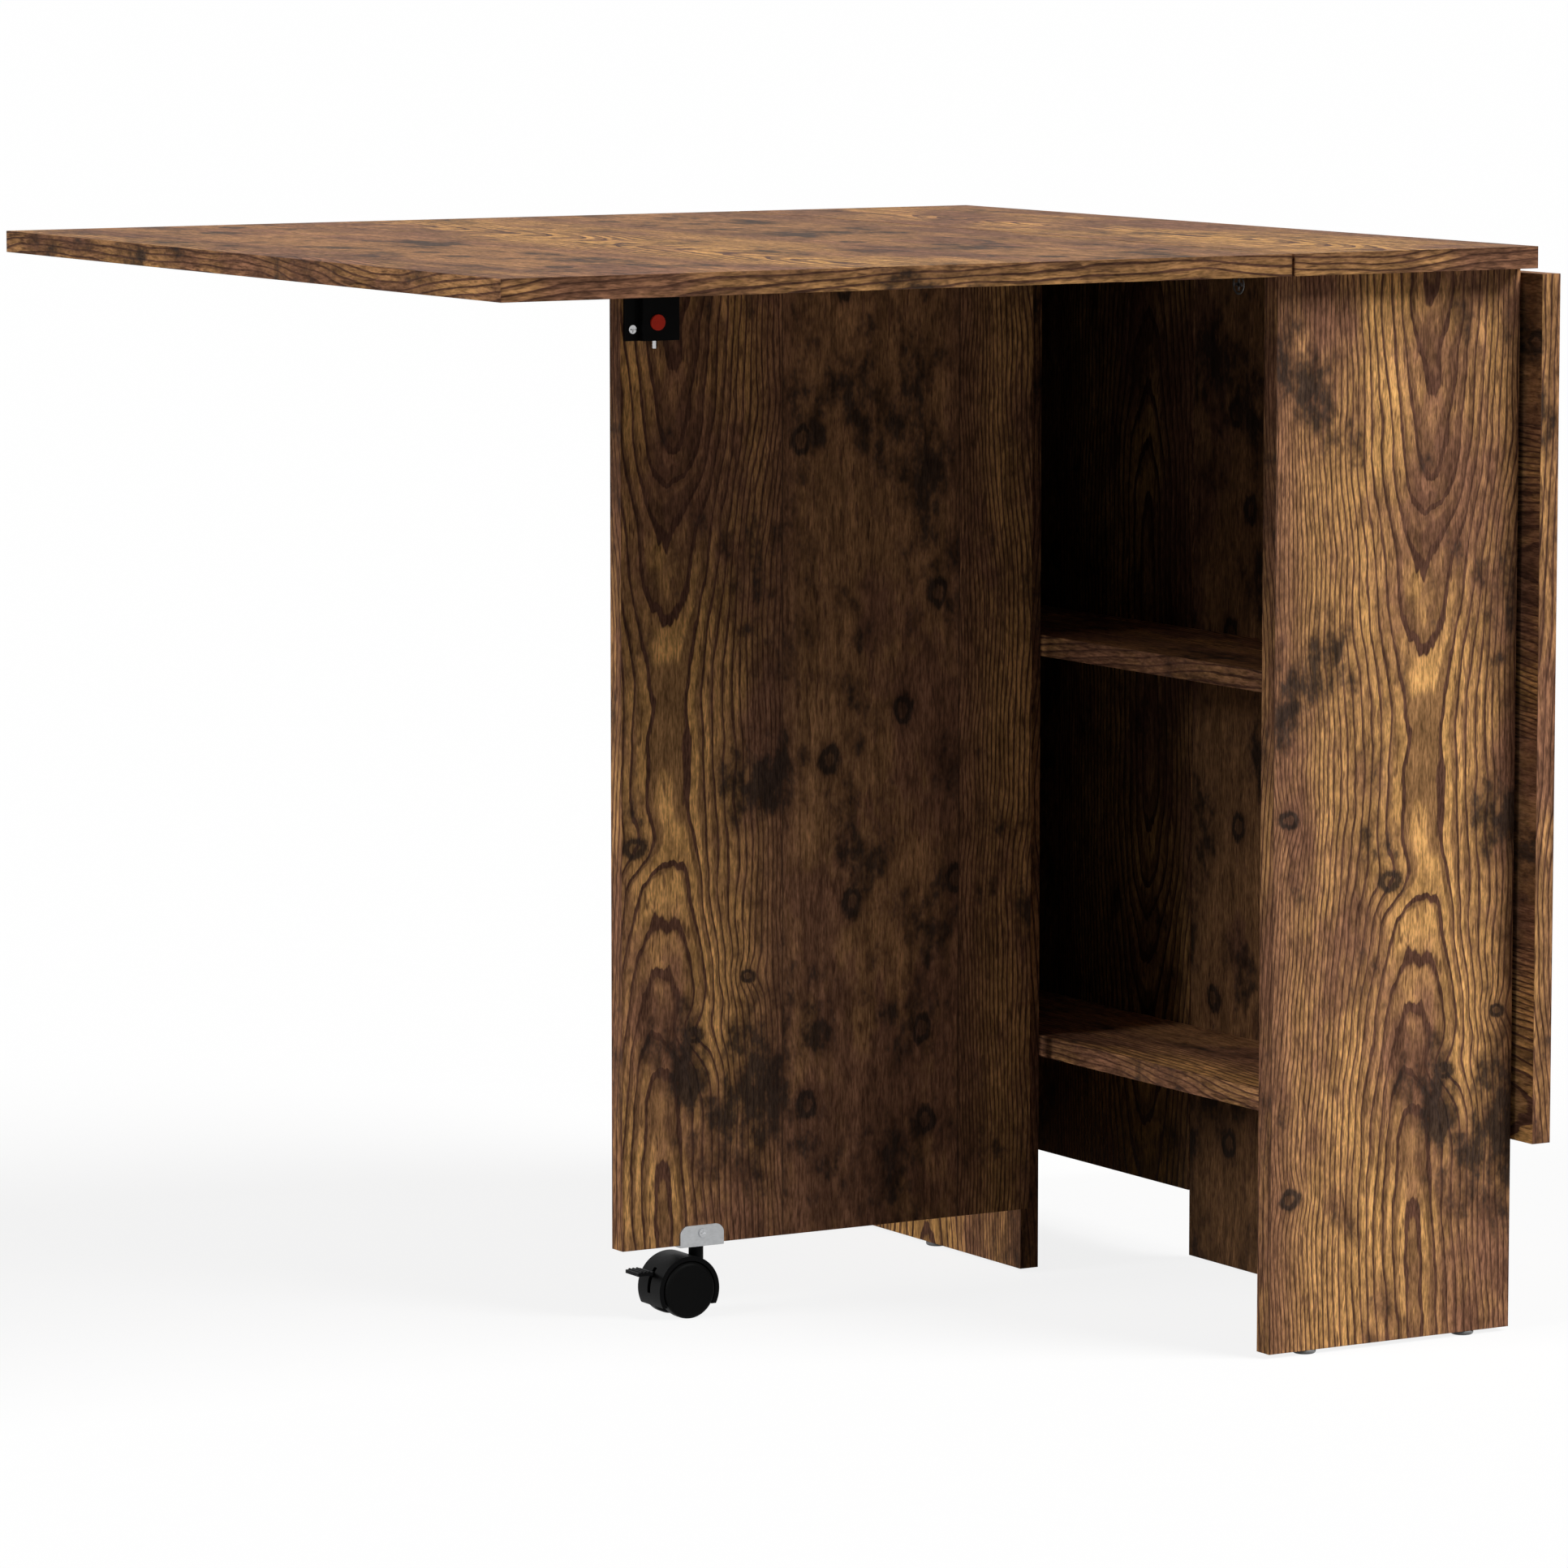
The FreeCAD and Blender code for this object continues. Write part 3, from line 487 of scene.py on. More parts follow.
class WoodPrint(NodeSheet):
    """The old-wood print: arched rings in planks, with knots, soot, short flecks and fine lines."""

    def __init__(self, tree, wood):
        super().__init__(tree)
        self.wood = wood
        grain = self.add("Attribute", {}, attribute_name="grain").outputs["Vector"]
        parts = self.add("SeparateXYZ", {"Vector": grain}).outputs
        # The third part is the face's tone, which on faces that look into the cabinet is darkened with
        # painted shade
        self.across, self.along, self.tone = parts["X"], parts["Y"], parts["Z"]
        self.plank, self.narrow, self.offset, self.inside = self.find_plank()
        self.knot = self.knot_distance()
        self.fibres = self.streak(FIBRES)
        self.patches = self.streak(SOOT_PATCHES)
        self.beside = self.beside_heart()
        self.aside = self.step(self.calc("ABSOLUTE", self.beside), SIDE_START, SIDE_END)

    def find_plank(self):
        """A point's plank, whether it is a narrow one, and how far its middle and its nearer edge are."""
        wide, slim = self.wood.wide_plank, self.wood.narrow_plank
        pair_width = wide + slim
        pair = self.calc("FLOOR", self.calc("DIVIDE", self.across, pair_width))
        within = self.calc("SUBTRACT", self.across, self.scaled(pair, pair_width))
        narrow = self.calc("GREATER_THAN", within, wide)
        plank = self.scaled(pair, 2.0, narrow)
        middle = self.scaled(narrow, pair_width / 2.0, wide / 2.0)
        half = self.scaled(narrow, (slim - wide) / 2.0, wide / 2.0)
        offset = self.calc("SUBTRACT", within, middle)
        return plank, narrow, offset, self.calc("SUBTRACT", half, self.calc("ABSOLUTE", offset))

    def streak(self, pattern, joined=False):
        """Noise drawn out along the grain, different in each plank unless the planks are joined."""
        across = self.scaled(self.across, pattern.across)
        along = self.scaled(self.along, pattern.along)
        plank = 0.0 if joined else self.scaled(self.plank, PLANK_STEP)
        return self.noise(self.place(across, along, plank), pattern)

    def chance(self, draw):
        """A number from 0 to 1 that differs from plank to plank."""
        return self.calc("FRACT", self.scaled(self.plank, draw.step, draw.start))

    def towards_side(self, level):
        """A level that falls from the middle of a plank to its sides."""
        return self.scaled(self.aside, -level.loss, level.middle)

    def mark_distance(self, mark, flatness):
        """Distance from the middle of a mark that is flattened along the grain."""
        side = self.scaled(self.across, 1.0, -mark.across)
        return self.length(side, self.scaled(self.along, flatness, -flatness * mark.along))

    def knot_distance(self):
        """Distance in knot radii to the nearest knot of the first plank, or of a narrow plank."""
        spot = self.place(self.across, self.scaled(self.along, KNOT_CELL_STRETCH))
        inputs = {"Vector": spot, "Scale": KNOT_CELLS}
        cell = self.add("TexVoronoi", inputs, voronoi_dimensions="2D").outputs
        chance = self.add("SeparateColor", {"Color": cell["Color"]}).outputs["Red"]
        knotless = self.calc("LESS_THAN", chance, KNOTLESS_SHARE)
        knotless = self.calc("MAXIMUM", knotless, self.calc("SUBTRACT", 1.0, self.narrow))
        scattered = self.scaled(cell["Distance"], KNOT_CELL_RADII)
        nearest = self.calc("ADD", scattered, self.scaled(knotless, KNOTLESS_RADII))
        for knot in KNOTS:
            radii = self.scaled(self.mark_distance(knot, KNOT_FLATNESS), 1.0 / knot.radius)
            nearest = self.calc("MINIMUM", nearest, radii)
        return nearest

    def beside_heart(self):
        """Distance across the plank from its heart, which leans to one side and wanders."""
        wander = self.sway(self.streak(HEART_WANDER), WANDER_WIDTH)
        wiggle = self.sway(self.streak(HEART_WIGGLE), WIGGLE_WIDTH)
        lean = self.sway(self.chance(LEAN_DRAW), LEAN_WIDTH)
        return self.calc("ADD", self.calc("SUBTRACT", self.offset, lean, wander), wiggle)

    def ring_phase(self):
        """Place between two rings. They close up away from the heart and bend round the knots."""
        arch = self.calc("ADD", self.along, self.chance(ARCH_DRAW))
        swing = self.calc("COSINE", self.scaled(arch, math.pi / self.wood.arch_length, -math.pi))
        uneven = self.sway(self.streak(CUT_DEPTH), CUT_WIDTH)
        depth = self.calc("ADD", self.scaled(swing, CUT_SWING, CUT_MIDDLE), uneven)
        radius = self.length(self.beside, depth)
        knot_square = self.calc("MULTIPLY", self.knot, self.knot)
        near_knot = self.calc("EXPONENT", self.scaled(knot_square, -KNOT_FADE))
        turns = self.calc(
            "ADD",
            self.calc("MULTIPLY", radius, self.scaled(radius, RINGS_BY_SQUARE, RINGS_BY_RADIUS)),
            self.scaled(self.streak(RING_BENDS), BEND_TURNS),
            self.scaled(self.streak(RING_FRAY), FRAY_TURNS),
            self.scaled(near_knot, KNOT_TURNS),
        )
        return self.calc("FRACT", turns)

    def rings(self):
        """How dark the rings are: a soft body, a dark line and a quick fall to the next ring."""
        phase = self.ring_phase()
        full = self.step(self.streak(RING_WIDTHS), *RING_BODY)
        body = self.step(phase, self.scaled(full, 1.0, -BODY_RISE), full, 0.0, self.towards_side(BODY_DARK))
        line = self.step(phase, self.towards_side(LINE_START), self.towards_side(LINE_END))
        fall = self.step(phase, *RING_FALL)
        side_share = self.towards_side(RING_SHARE)
        narrow_share = self.scaled(self.narrow, -NARROW_LOSS, 1.0)
        return self.calc("MULTIPLY", self.calc("MAXIMUM", body, line), fall, side_share, narrow_share)

    def plain_colour(self):
        """Wood between the rings: honey, or brown in dull parts, narrow planks and at planks' edges."""
        dull = self.calc(
            "MAXIMUM",
            self.step(self.streak(DULL_PARTS), *DULL),
            self.scaled(self.narrow, NARROW_DULL),
            self.scaled(self.aside, SIDE_DULL),
            self.step(self.inside, *DULL_EDGE),
        )
        return self.blend(dull, solid(self.wood.honey), solid(self.wood.brown))

    def soot_level(self):
        """How thick the soot is, in patches that run on over the plank joints."""
        level = self.calc(
            "ADD",
            self.scaled(self.narrow, NARROW_SOOT, SOOT_BASE),
            self.streak(SOOT_DRIFT, joined=True),
            self.sway(self.fibres, FIBRE_SOOT),
            self.sway(self.patches, PATCH_SOOT),
        )
        for cloud in CLOUDS:
            distance = self.mark_distance(cloud, CLOUD_FLATNESS)
            level = self.calc("ADD", level, self.step(distance, 0.0, 2.0 * cloud.radius, CLOUD_SOOT, 0.0))
        return level

    def knot_cores(self):
        """How dark the knots are: a ragged rim about a lighter heart."""
        ragged = self.calc("ADD", self.knot, self.sway(self.patches, RIM_FRAY))
        from_rim = self.calc("ABSOLUTE", self.scaled(ragged, 1.0, -RIM_RADIUS))
        return self.calc("MAXIMUM", self.step(from_rim, *KNOT_RIM), self.step(self.knot, *KNOT_HEART))

    def colour(self):
        """Colour from light to dark: plain wood, rings, flecks, smoke, stains, knots and plank joints."""
        soot = self.soot_level()
        flecks = self.step(self.streak(FLECKS), *FLECK)
        smoke = self.step(soot, *SMOKE)
        halo = self.step(self.knot, *KNOT_HALO)
        brown = self.calc("MAXIMUM", self.rings(), flecks, smoke, halo)
        colour = self.blend(brown, self.plain_colour(), solid(self.wood.umber))
        stain = self.step(soot, *STAIN)
        joint = self.scaled(self.calc("LESS_THAN", self.inside, HALF_JOINT), JOINT_DARK)
        dark = self.calc("MAXIMUM", stain, self.knot_cores(), joint)
        return self.blend(dark, colour, solid(self.wood.soot))

    def shade(self):
        """How light the print is: lines, mottle and fibres, in the tones of the plank and the face, where
        faces that look into the cabinet are darkened with painted shade.
        """
        lines = self.step(self.streak(FINE_LINES), *LINE_SHADE)
        mottle = self.step(self.streak(MOTTLE), *MOTTLE_SHADE)
        plank_tone = self.scaled(self.chance(TONE_DRAW), PLANK_TONE_RISE, PLANK_TONE)
        fibres = self.step(self.fibres, *FIBRE_SHADE)
        return self.calc("MULTIPLY", lines, mottle, plank_tone, self.tone, fibres)


def new_material(name):
    """An empty material, with its node sheet and its shader."""
    material = bpy.data.materials.new(name)
    material.use_nodes = True
    shader = material.node_tree.nodes["Principled BSDF"]
    return material, NodeSheet(material.node_tree), shader


def solid(colour):
    """A colour with full cover."""
    return (*colour, 1.0)


def dress_shader(sheet, shader, colour, shade, roughness, normal):
    """Joins a shaded colour, a roughness and a pressed normal to a shader."""
    sheet.join(sheet.blend(1.0, colour, shade, "MULTIPLY"), shader.inputs["Base Color"])
    sheet.join(roughness, shader.inputs["Roughness"])
    sheet.join(normal, shader.inputs["Normal"])


def make_wood(name, wood):
    """Satin board with the old-wood print and a pressed grain."""
    material, _, shader = new_material(name)
    sheet = WoodPrint(material.node_tree, wood)
    roughness = sheet.scaled(sheet.fibres, -FIBRE_POLISH, WOOD_ROUGHNESS)
    normal = sheet.bump(sheet.fibres, wood.relief, strength=0.35)
    dress_shader(sheet, shader, sheet.colour(), sheet.shade(), roughness, normal)
    shader.inputs["Specular IOR Level"].default_value = WOOD_GLOSS
    return material


def make_plastic(name, colour, roughness, gloss):
    """Moulded plastic with a fine spark-eroded grain and faint handling marks."""
    material, sheet, shader = new_material(name)
    pits = sheet.grain(MOULD_PITS)
    marks = sheet.grain(HANDLING_MARKS)
    both = sheet.calc("ADD", pits, sheet.scaled(marks, MARK_WEIGHT))
    shade = sheet.scaled(both, PLASTIC.grain_light, PLASTIC.light)
    normal = sheet.bump(pits, distance=0.00006, strength=0.5)
    dress_shader(sheet, shader, solid(colour), shade, sheet.sway(marks, PLASTIC.sway, roughness), normal)
    shader.inputs["Specular IOR Level"].default_value = gloss
    return material


def make_metal(name, colour, roughness):
    """Plated sheet metal with rolling lines and a cloudy coat."""
    material, sheet, shader = new_material(name)
    lines = sheet.grain(ROLLING_LINES)
    coat = sheet.calc("ADD", lines, sheet.grain(COAT_CLOUDS))
    shade = sheet.scaled(coat, METAL.grain_light, METAL.light)
    swayed = sheet.scaled(coat, METAL.sway, roughness - METAL.sway)
    normal = sheet.bump(lines, distance=0.00003, strength=0.4)
    dress_shader(sheet, shader, solid(colour), shade, swayed, normal)
    shader.inputs["Metallic"].default_value = 1.0
    return material


def make_beech(name, colour):
    """Turned beech with short dark flecks along the dowel."""
    material, sheet, shader = new_material(name)
    flecks = sheet.grain(BEECH_FLECKS)
    shade = sheet.step(flecks, *BEECH_SHADE)
    roughness = sheet.sway(flecks, BEECH_SWAY, BEECH_ROUGHNESS)
    normal = sheet.bump(flecks, distance=0.0001, strength=0.4)
    dress_shader(sheet, shader, solid(colour), shade, roughness, normal)
    return material


def place_object(name, data):
    """A new object in the scene."""
    item = bpy.data.objects.new(name, data)
    bpy.context.scene.collection.objects.link(item)
    return item


def finish_piece(name, shape, node, material, even=True):
    """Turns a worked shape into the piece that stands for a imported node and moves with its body."""
    mesh = bpy.data.meshes.new(name)
    shape.to_mesh(mesh)
    shape.free()
    mesh.materials.append(material)
    piece = place_object(name, mesh)
    if even:
        piece.modifiers.new("even_normals", "WEIGHTED_NORMAL")
    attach(piece, frame["nodes"][node]["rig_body"])
    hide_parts(node)


def round_edges(shape, edges, rounding, segments):
    """Rounds some edges of a shape."""
    bmesh.ops.bevel(
        shape, geom=edges, offset=rounding, offset_type="OFFSET", segments=segments, profile=0.5,
        affect="EDGES", clamp_overlap=True
    )


def add_box(shape, low, high, arris):
    """A box with rounded corners, as new faces of a shape."""
    place = Matrix.Translation((low + high) / 2.0) @ Matrix.Diagonal((*(high - low), 1.0))
    corners = bmesh.ops.create_cube(shape, size=1.0, matrix=place)["verts"]
    edges = dict.fromkeys(edge for corner in corners for edge in corner.link_edges)
    round_edges(shape, list(edges), arris, EDGE_FACES)


def print_place(board, spot, looks, high, end_tone):
    """A point's place on the print sheet, across and along the grain, and how light it is."""
    face_axis = AXES[board.face]
    grain_axis = AXES[board.grain]
    cross_axis = 3 - face_axis - grain_axis
    across, along = board.start
    if looks == face_axis:
        shift = REAR_FACE_SHIFT if high and board.face == "Y" else 0.0
        # A low face that looks into the cabinet gets a tone darkened with painted shade
        tone = board.high_tone if high else board.low_tone
        return across + shift + spot[cross_axis], along + spot[grain_axis], tone
    if looks == cross_axis:
        return BAND_ROW + spot[face_axis], along + spot[grain_axis], board.side_tone
    return BAND_ROW + spot[face_axis], along + END_BAND_SHIFT + spot[cross_axis], end_tone


def lay_grain(shape, board, low, joint):
    """Writes each corner's place on the print sheet. End bands change tone at a joint."""
    layer = shape.loops.layers.float_vector.new("grain")
    cross_axis = 3 - AXES[board.face] - AXES[board.grain]
    for face in shape.faces:
        lengths = [abs(part) for part in face.normal]
        looks = lengths.index(max(lengths))
        high = face.normal[looks] > 0.0
        second = joint is not None and face.calc_center_median()[cross_axis] > joint
        end_tone = board.end_tone * SECOND_BAND_TONE if second else board.end_tone
        for loop in face.loops:
            loop[layer] = Vector(print_place(board, loop.vert.co - low, looks, high, end_tone))


def cut_board(board, boards, material):
    """A board and its four glued edge bands. The raised leaf's front band is in two pieces."""
    low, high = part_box(board.node)
    narrow = [axis for axis in range(3) if axis != AXES[board.face]]
    shape = bmesh.new()
    inset = Vector([boards.band if axis in narrow else 0.0 for axis in range(3)])
    add_box(shape, low + inset, high - inset, boards.arris / 2.0)
    joint = boards.band_joint if board.node == "left_leaf" else None
    for axis in narrow:
        cross_axis = sum(narrow) - axis
        at_grain_end = axis == AXES[board.grain]
        for end in (-1, 1):
            strip_low = low.copy()
            strip_high = high.copy()
            if end > 0:
                strip_low[axis] = high[axis] - boards.band
            else:
                strip_high[axis] = low[axis] + boards.band
            if at_grain_end:
                strip_low[cross_axis] += boards.band
                strip_high[cross_axis] -= boards.band
            cuts = [strip_low[cross_axis], strip_high[cross_axis]]
            if joint is not None and at_grain_end and end < 0:
                cuts.insert(1, joint)
            for start, stop in zip(cuts, cuts[1:]):
                strip_low[cross_axis] = start
                strip_high[cross_axis] = stop
                add_box(shape, strip_low, strip_high, boards.arris)
    bmesh.ops.recalc_face_normals(shape, faces=shape.faces)
    shape.normal_update()
    lay_grain(shape, board, low, joint)
    finish_piece(board.node + "_board", shape, board.node, material, even=False)


def packed_shape(node):
    """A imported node's mesh as a shape to work on, its double points joined."""
    shape = bmesh.new()
    shape.from_mesh(frame["nodes"][node].data)
    bmesh.ops.remove_doubles(shape, verts=shape.verts, dist=SAME_POINT)
    return shape


def round_copy(name, node, material, arris, segments=EDGE_FACES, corner=0.0):
    """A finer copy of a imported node: its flat faces joined, its sharp edges and plate corners rounded."""
    shape = packed_shape(node)
    bmesh.ops.dissolve_limit(shape, angle_limit=SAME_FACE, verts=shape.verts, edges=shape.edges)
    if corner > 0.0:
        short = [edge for edge in shape.edges if edge.is_manifold and edge.calc_length() < PLATE_LIMIT]
        cut = [edge for edge in short if abs(edge.calc_face_angle() - CORNER_ANGLE) < CORNER_ANGLE_SPREAD]
        round_edges(shape, cut, corner, CORNER_FACES)
    sharp = [edge for edge in shape.edges if edge.is_manifold and edge.calc_face_angle() > SHARP_ANGLE]
    round_edges(shape, sharp, arris, segments)
    for face in shape.faces:
        face.smooth = True
    finish_piece(name, shape, node, material)


def loose_boxes(node):
    """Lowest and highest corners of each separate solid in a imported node."""
    shape = packed_shape(node)
    seen = set()
    boxes = []
    for start in shape.verts:
        if start in seen:
            continue
        found = set()
        newest = {start}
        while newest:
            found |= newest
            newest = {edge.other_vert(vert) for vert in newest for edge in vert.link_edges} - found
        seen |= found
        low = Vector([min(vert.co[axis] for vert in found) for axis in range(3)])
        high = Vector([max(vert.co[axis] for vert in found) for axis in range(3)])
        boxes.append((low, high))
    shape.free()
    return boxes


def add_ring(shape, place, radius, height, steps):
    """New points round a place's own Z axis, or one point on it where the radius is nought."""
    turns = [2.0 * math.pi * index / steps for index in range(steps if radius > 0.0 else 1)]
    spots = [Vector((radius * math.cos(turn), radius * math.sin(turn), height)) for turn in turns]
    return [shape.verts.new(place @ spot) for spot in spots]


def join_rings(shape, rings, steps):
    """New smooth faces from each ring of points to the next."""
    for lower, upper in zip(rings, rings[1:]):
        for index in range(steps):
            corners = [lower[index % len(lower)], lower[(index + 1) % len(lower)]]
            corners += [upper[(index + 1) % len(upper)], upper[index % len(upper)]]
            face = shape.faces.new(list(dict.fromkeys(corners)))
            face.smooth = True


def turn_profile(shape, profile, place, steps):
    """Turns a profile of radius and height about a place's own Z axis, as new faces of a shape."""
    rings = [add_ring(shape, place, radius, height, steps) for radius, height in profile]
    join_rings(shape, rings, steps)


def arc(centre_radius, centre_height, rounding, start, stop, steps=5):
    """Points of a rounded corner in a profile, with its angles in degrees."""
    points = []
    for index in range(steps + 1):
        angle = math.radians(start + (stop - start) * index / steps)
        radius = centre_radius + rounding * math.cos(angle)
        points.append((radius, centre_height + rounding * math.sin(angle)))
    return points


def upright(spot, direction):
    """A place at a spot whose own Z axis points in a direction."""
    return Matrix.Translation(spot) @ direction.to_track_quat("Z", "Y").to_matrix().to_4x4()


def thin_way(size, towards):
    """The axis along which a size is smallest, and the way along it that a line takes."""
    axis = list(size).index(min(size))
    way = Vector((0.0, 0.0, 0.0))
    way[axis] = math.copysign(1.0, towards[axis])
    return axis, way


def roll_wheel(name, node, hood_node, fittings, material):
    """A caster wheel: rounded rim, outer face dished behind a shallow step, blind bore inside."""
    low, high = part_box(node)
    size = high - low
    middle = (low + high) / 2.0
    hood_low, hood_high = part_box(hood_node)
    axis, outward = thin_way(size, middle - (hood_low + hood_high) / 2.0)
    width = size[axis]
    radius = size.z / 2.0
    rounding = fittings.wheel_rounding
    bore = fittings.wheel_bore
    bottom = width - fittings.wheel_wall
    step_top = 0.82 * radius
    step_foot = 0.80 * radius
    hub = 0.40 * radius
    hub_depth = 0.7 * fittings.wheel_dish
    profile = [(0.0, bottom), (bore, bottom), (bore, 0.0)]
    profile += arc(radius - rounding, rounding, rounding, -90.0, 0.0)
    profile += arc(radius - rounding, width - rounding, rounding, 0.0, 90.0)
    profile += [(step_top, width), (step_foot, width - fittings.wheel_dish)]
    profile += [(hub, width - hub_depth), (0.0, width)]
    shape = bmesh.new()
    turn_profile(shape, profile, upright(middle - outward * (width / 2.0), outward), WHEEL_FACES)
    bmesh.ops.recalc_face_normals(shape, faces=shape.faces)
    finish_piece(name, shape, node, material)


def add_cam(shape, low, high, goal, proud):
    """A cam lock in its box, with a bevelled face and a cross on its board's inner side."""
    size = high - low
    spot = (low + high) / 2.0
    axis, outward = thin_way(size, goal - spot)
    radius = max(size) / 2.0
    depth = size[axis]
    bevel = 0.96 * radius
    rim = 0.74 * radius
    face = 0.72 * radius
    arm = 0.62 * radius
    slot = 0.16 * radius
    shoulder = 0.4 * proud
    sunk = -0.2 * proud
    place = upright(spot + outward * (depth / 2.0), outward)
    profile = [(0.0, -depth), (radius, -depth), (radius, shoulder), (bevel, proud)]
    profile += [(rim, proud), (face, sunk), (0.0, sunk)]
    turn_profile(shape, profile, place, CAM_FACES)
    for reach in (Vector((arm, slot, proud / 2.0)), Vector((slot, arm, proud / 2.0))):
        bmesh.ops.create_cube(shape, size=2.0, matrix=place @ Matrix.Diagonal((*reach, 1.0)))


def face_cams(name, node, fittings, material):
    """Cam locks as they show on the boards. They face the middle of the cabinet's floor."""
    low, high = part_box("front_end_panel")
    goal = Vector(((low.x + high.x) / 2.0, (CAD_LOW.y + CAD_HIGH.y) / 2.0, CAD_LOW.z))
    shape = bmesh.new()
    for lock_low, lock_high in loose_boxes(node):
        add_cam(shape, lock_low, lock_high, goal, fittings.cam_proud)
    bmesh.ops.recalc_face_normals(shape, faces=shape.faces)
    finish_piece(name, shape, node, material)


def wind_spring(name, node, fittings, material):
    """A compression spring of round wire, wound about an upright axis."""
    low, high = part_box(node)
    wire = fittings.spring_wire
    coil = (high.x - low.x) / 2.0 - wire
    foot = Vector(((low.x + high.x) / 2.0, (low.y + high.y) / 2.0, low.z + wire))
    up = Vector((0.0, 0.0, 1.0))
    rise = high.z - low.z - 2.0 * wire
    steps = TURN_FACES * fittings.spring_turns
    shape = bmesh.new()
    rings = []
    for index in range(steps + 1):
        share = index / steps
        angle = 2.0 * math.pi * fittings.spring_turns * share
        outward = Vector((math.cos(angle), math.sin(angle), 0.0))
        heart = foot + up * (rise * share) + outward * coil
        axes = Matrix((outward, up, outward.cross(up))).transposed().to_4x4()
        rings.append(add_ring(shape, Matrix.Translation(heart) @ axes, wire, 0.0, WIRE_FACES))
    join_rings(shape, rings, WIRE_FACES)
    shape.faces.new(rings[0])
    shape.faces.new(rings[-1])
    bmesh.ops.recalc_face_normals(shape, faces=shape.faces)
    finish_piece(name, shape, node, material)


def aim(yaw, pitch):
    """The turn that points a camera or lamp to the right of the Y axis and above the horizon."""
    look = Vector((math.sin(yaw), math.cos(yaw), math.tan(pitch)))
    return look.to_track_quat("-Z", "Y").to_euler()


def place_camera(scene, stage):
    """The camera at the photograph's viewing angle."""
    lens = bpy.data.cameras.new("camera")
    lens.sensor_width = SENSOR_WIDTH
    lens.lens = stage.lens
    camera = place_object("camera", lens)
    camera.location = stage.eye
    camera.rotation_euler = aim(stage.yaw, stage.pitch)
    scene.camera = camera


def hang_lamp(lamp, strength):
    """A broad studio lamp."""
    light = bpy.data.lights.new(lamp.name, "SUN")
    light.energy = strength
    light.angle = math.radians(lamp.softness)
    turn = aim(-math.radians(lamp.azimuth), -math.radians(lamp.elevation))
    place_object(lamp.name, light).rotation_euler = turn


def seen_rays(sheet):
    """One where a ray comes from the camera, a mirror or through glass, and zero elsewhere."""
    path = sheet.add("LightPath", {}).outputs
    return sheet.calc("MAXIMUM", path["Is Camera Ray"], path["Is Glossy Ray"], path["Is Transmission Ray"])


def light_room(scene, stage):
    """White surroundings that light the table only faintly."""
    world = bpy.data.worlds.new("studio")
    world.use_nodes = True
    scene.world = world
    sheet = NodeSheet(world.node_tree)
    surround = world.node_tree.nodes["Background"]
    surround.inputs["Color"].default_value = WHITE
    level = sheet.scaled(seen_rays(sheet), 1.0 - stage.room_light, stage.room_light)
    sheet.join(level, surround.inputs["Strength"])


def paint_floor(stage):
    """Pale paint that looks nearly white, keeps the table's shadow and throws back little light."""
    material, sheet, shader = new_material("pale_floor")
    shader.inputs["Roughness"].default_value = 1.0
    shader.inputs["Specular IOR Level"].default_value = 0.0
    tint = sheet.sway(sheet.grain(FLOOR_SPECKLE), SPECKLE_SWAY, 1.0)
    seen = seen_rays(sheet)
    paint = sheet.blend(seen, solid(stage.floor_colour), solid(stage.floor_paint))
    sheet.join(sheet.blend(1.0, paint, tint, "MULTIPLY"), shader.inputs["Base Color"])
    white = sheet.add("Emission", {"Color": WHITE, "Strength": 1.0}).outputs["Emission"]
    share = sheet.scaled(seen, stage.floor_white)
    mixed = sheet.add("MixShader", {0: share, 1: shader.outputs["BSDF"], 2: white})
    output = material.node_tree.nodes["Material Output"]
    sheet.join(mixed.outputs["Shader"], output.inputs["Surface"])
    return material


class TABLE_OT_set_stage(bpy.types.Operator):
    """Sets the camera, the lamps, the pale floor and the white surroundings"""

    bl_idname = "table.set_stage"
    bl_label = "Set the stage"

    def execute(self, context):
        scene = context.scene
        stage = scene.table_stage
        scene.view_settings.view_transform = "Standard"
        place_camera(scene, stage)
        for lamp in LAMPS:
            hang_lamp(lamp, getattr(stage, lamp.strength))
        light_room(scene, stage)
        half = stage.floor_size / 2.0
        mesh = bpy.data.meshes.new("studio_floor")
        corners = [(-half, -half, 0.0), (half, -half, 0.0), (half, half, 0.0), (-half, half, 0.0)]
        mesh.from_pydata(corners, [], [(0, 1, 2, 3)])
        mesh.materials.append(paint_floor(stage))
        floor = place_object("studio_floor", mesh)
        return {"FINISHED"}


class TABLE_OT_cut_boards(bpy.types.Operator):
    """Cuts the eleven boards from the print and bands their edges"""

    bl_idname = "table.cut_boards"
    bl_label = "Cut the boards"

    def execute(self, context):
        wood = make_wood("old_wood_print", context.scene.table_wood)
        for board in BOARDS:
            cut_board(board, context.scene.table_boards, wood)
        return {"FINISHED"}


class TABLE_OT_fit_joinery(bpy.types.Operator):
    """Fits the cam locks, cam bolts, dowels and floor glides"""

    bl_idname = "table.fit_joinery"
    bl_label = "Fit the joinery"

    def execute(self, context):
        fittings = context.scene.table_fittings
        zinc = make_metal("cast_zinc", fittings.zinc, roughness=0.45)
        steel = make_metal("bolt_steel", fittings.steel, roughness=0.32)
        beech = make_beech("beech", fittings.beech)
        grey = make_plastic("glide_plastic", fittings.grey, roughness=0.5, gloss=0.3)
        face_cams("cam_lock_faces", "cam_locks", fittings, zinc)
        round_copy("cam_bolt_shanks", "cam_bolts", steel, fittings.fine_arris)
        round_copy("fluted_dowels", "shelf_dowels", beech, fittings.dowel_arris)
        round_copy("nailed_glides", "floor_glides", grey, fittings.plastic_arris)
        return {"FINISHED"}


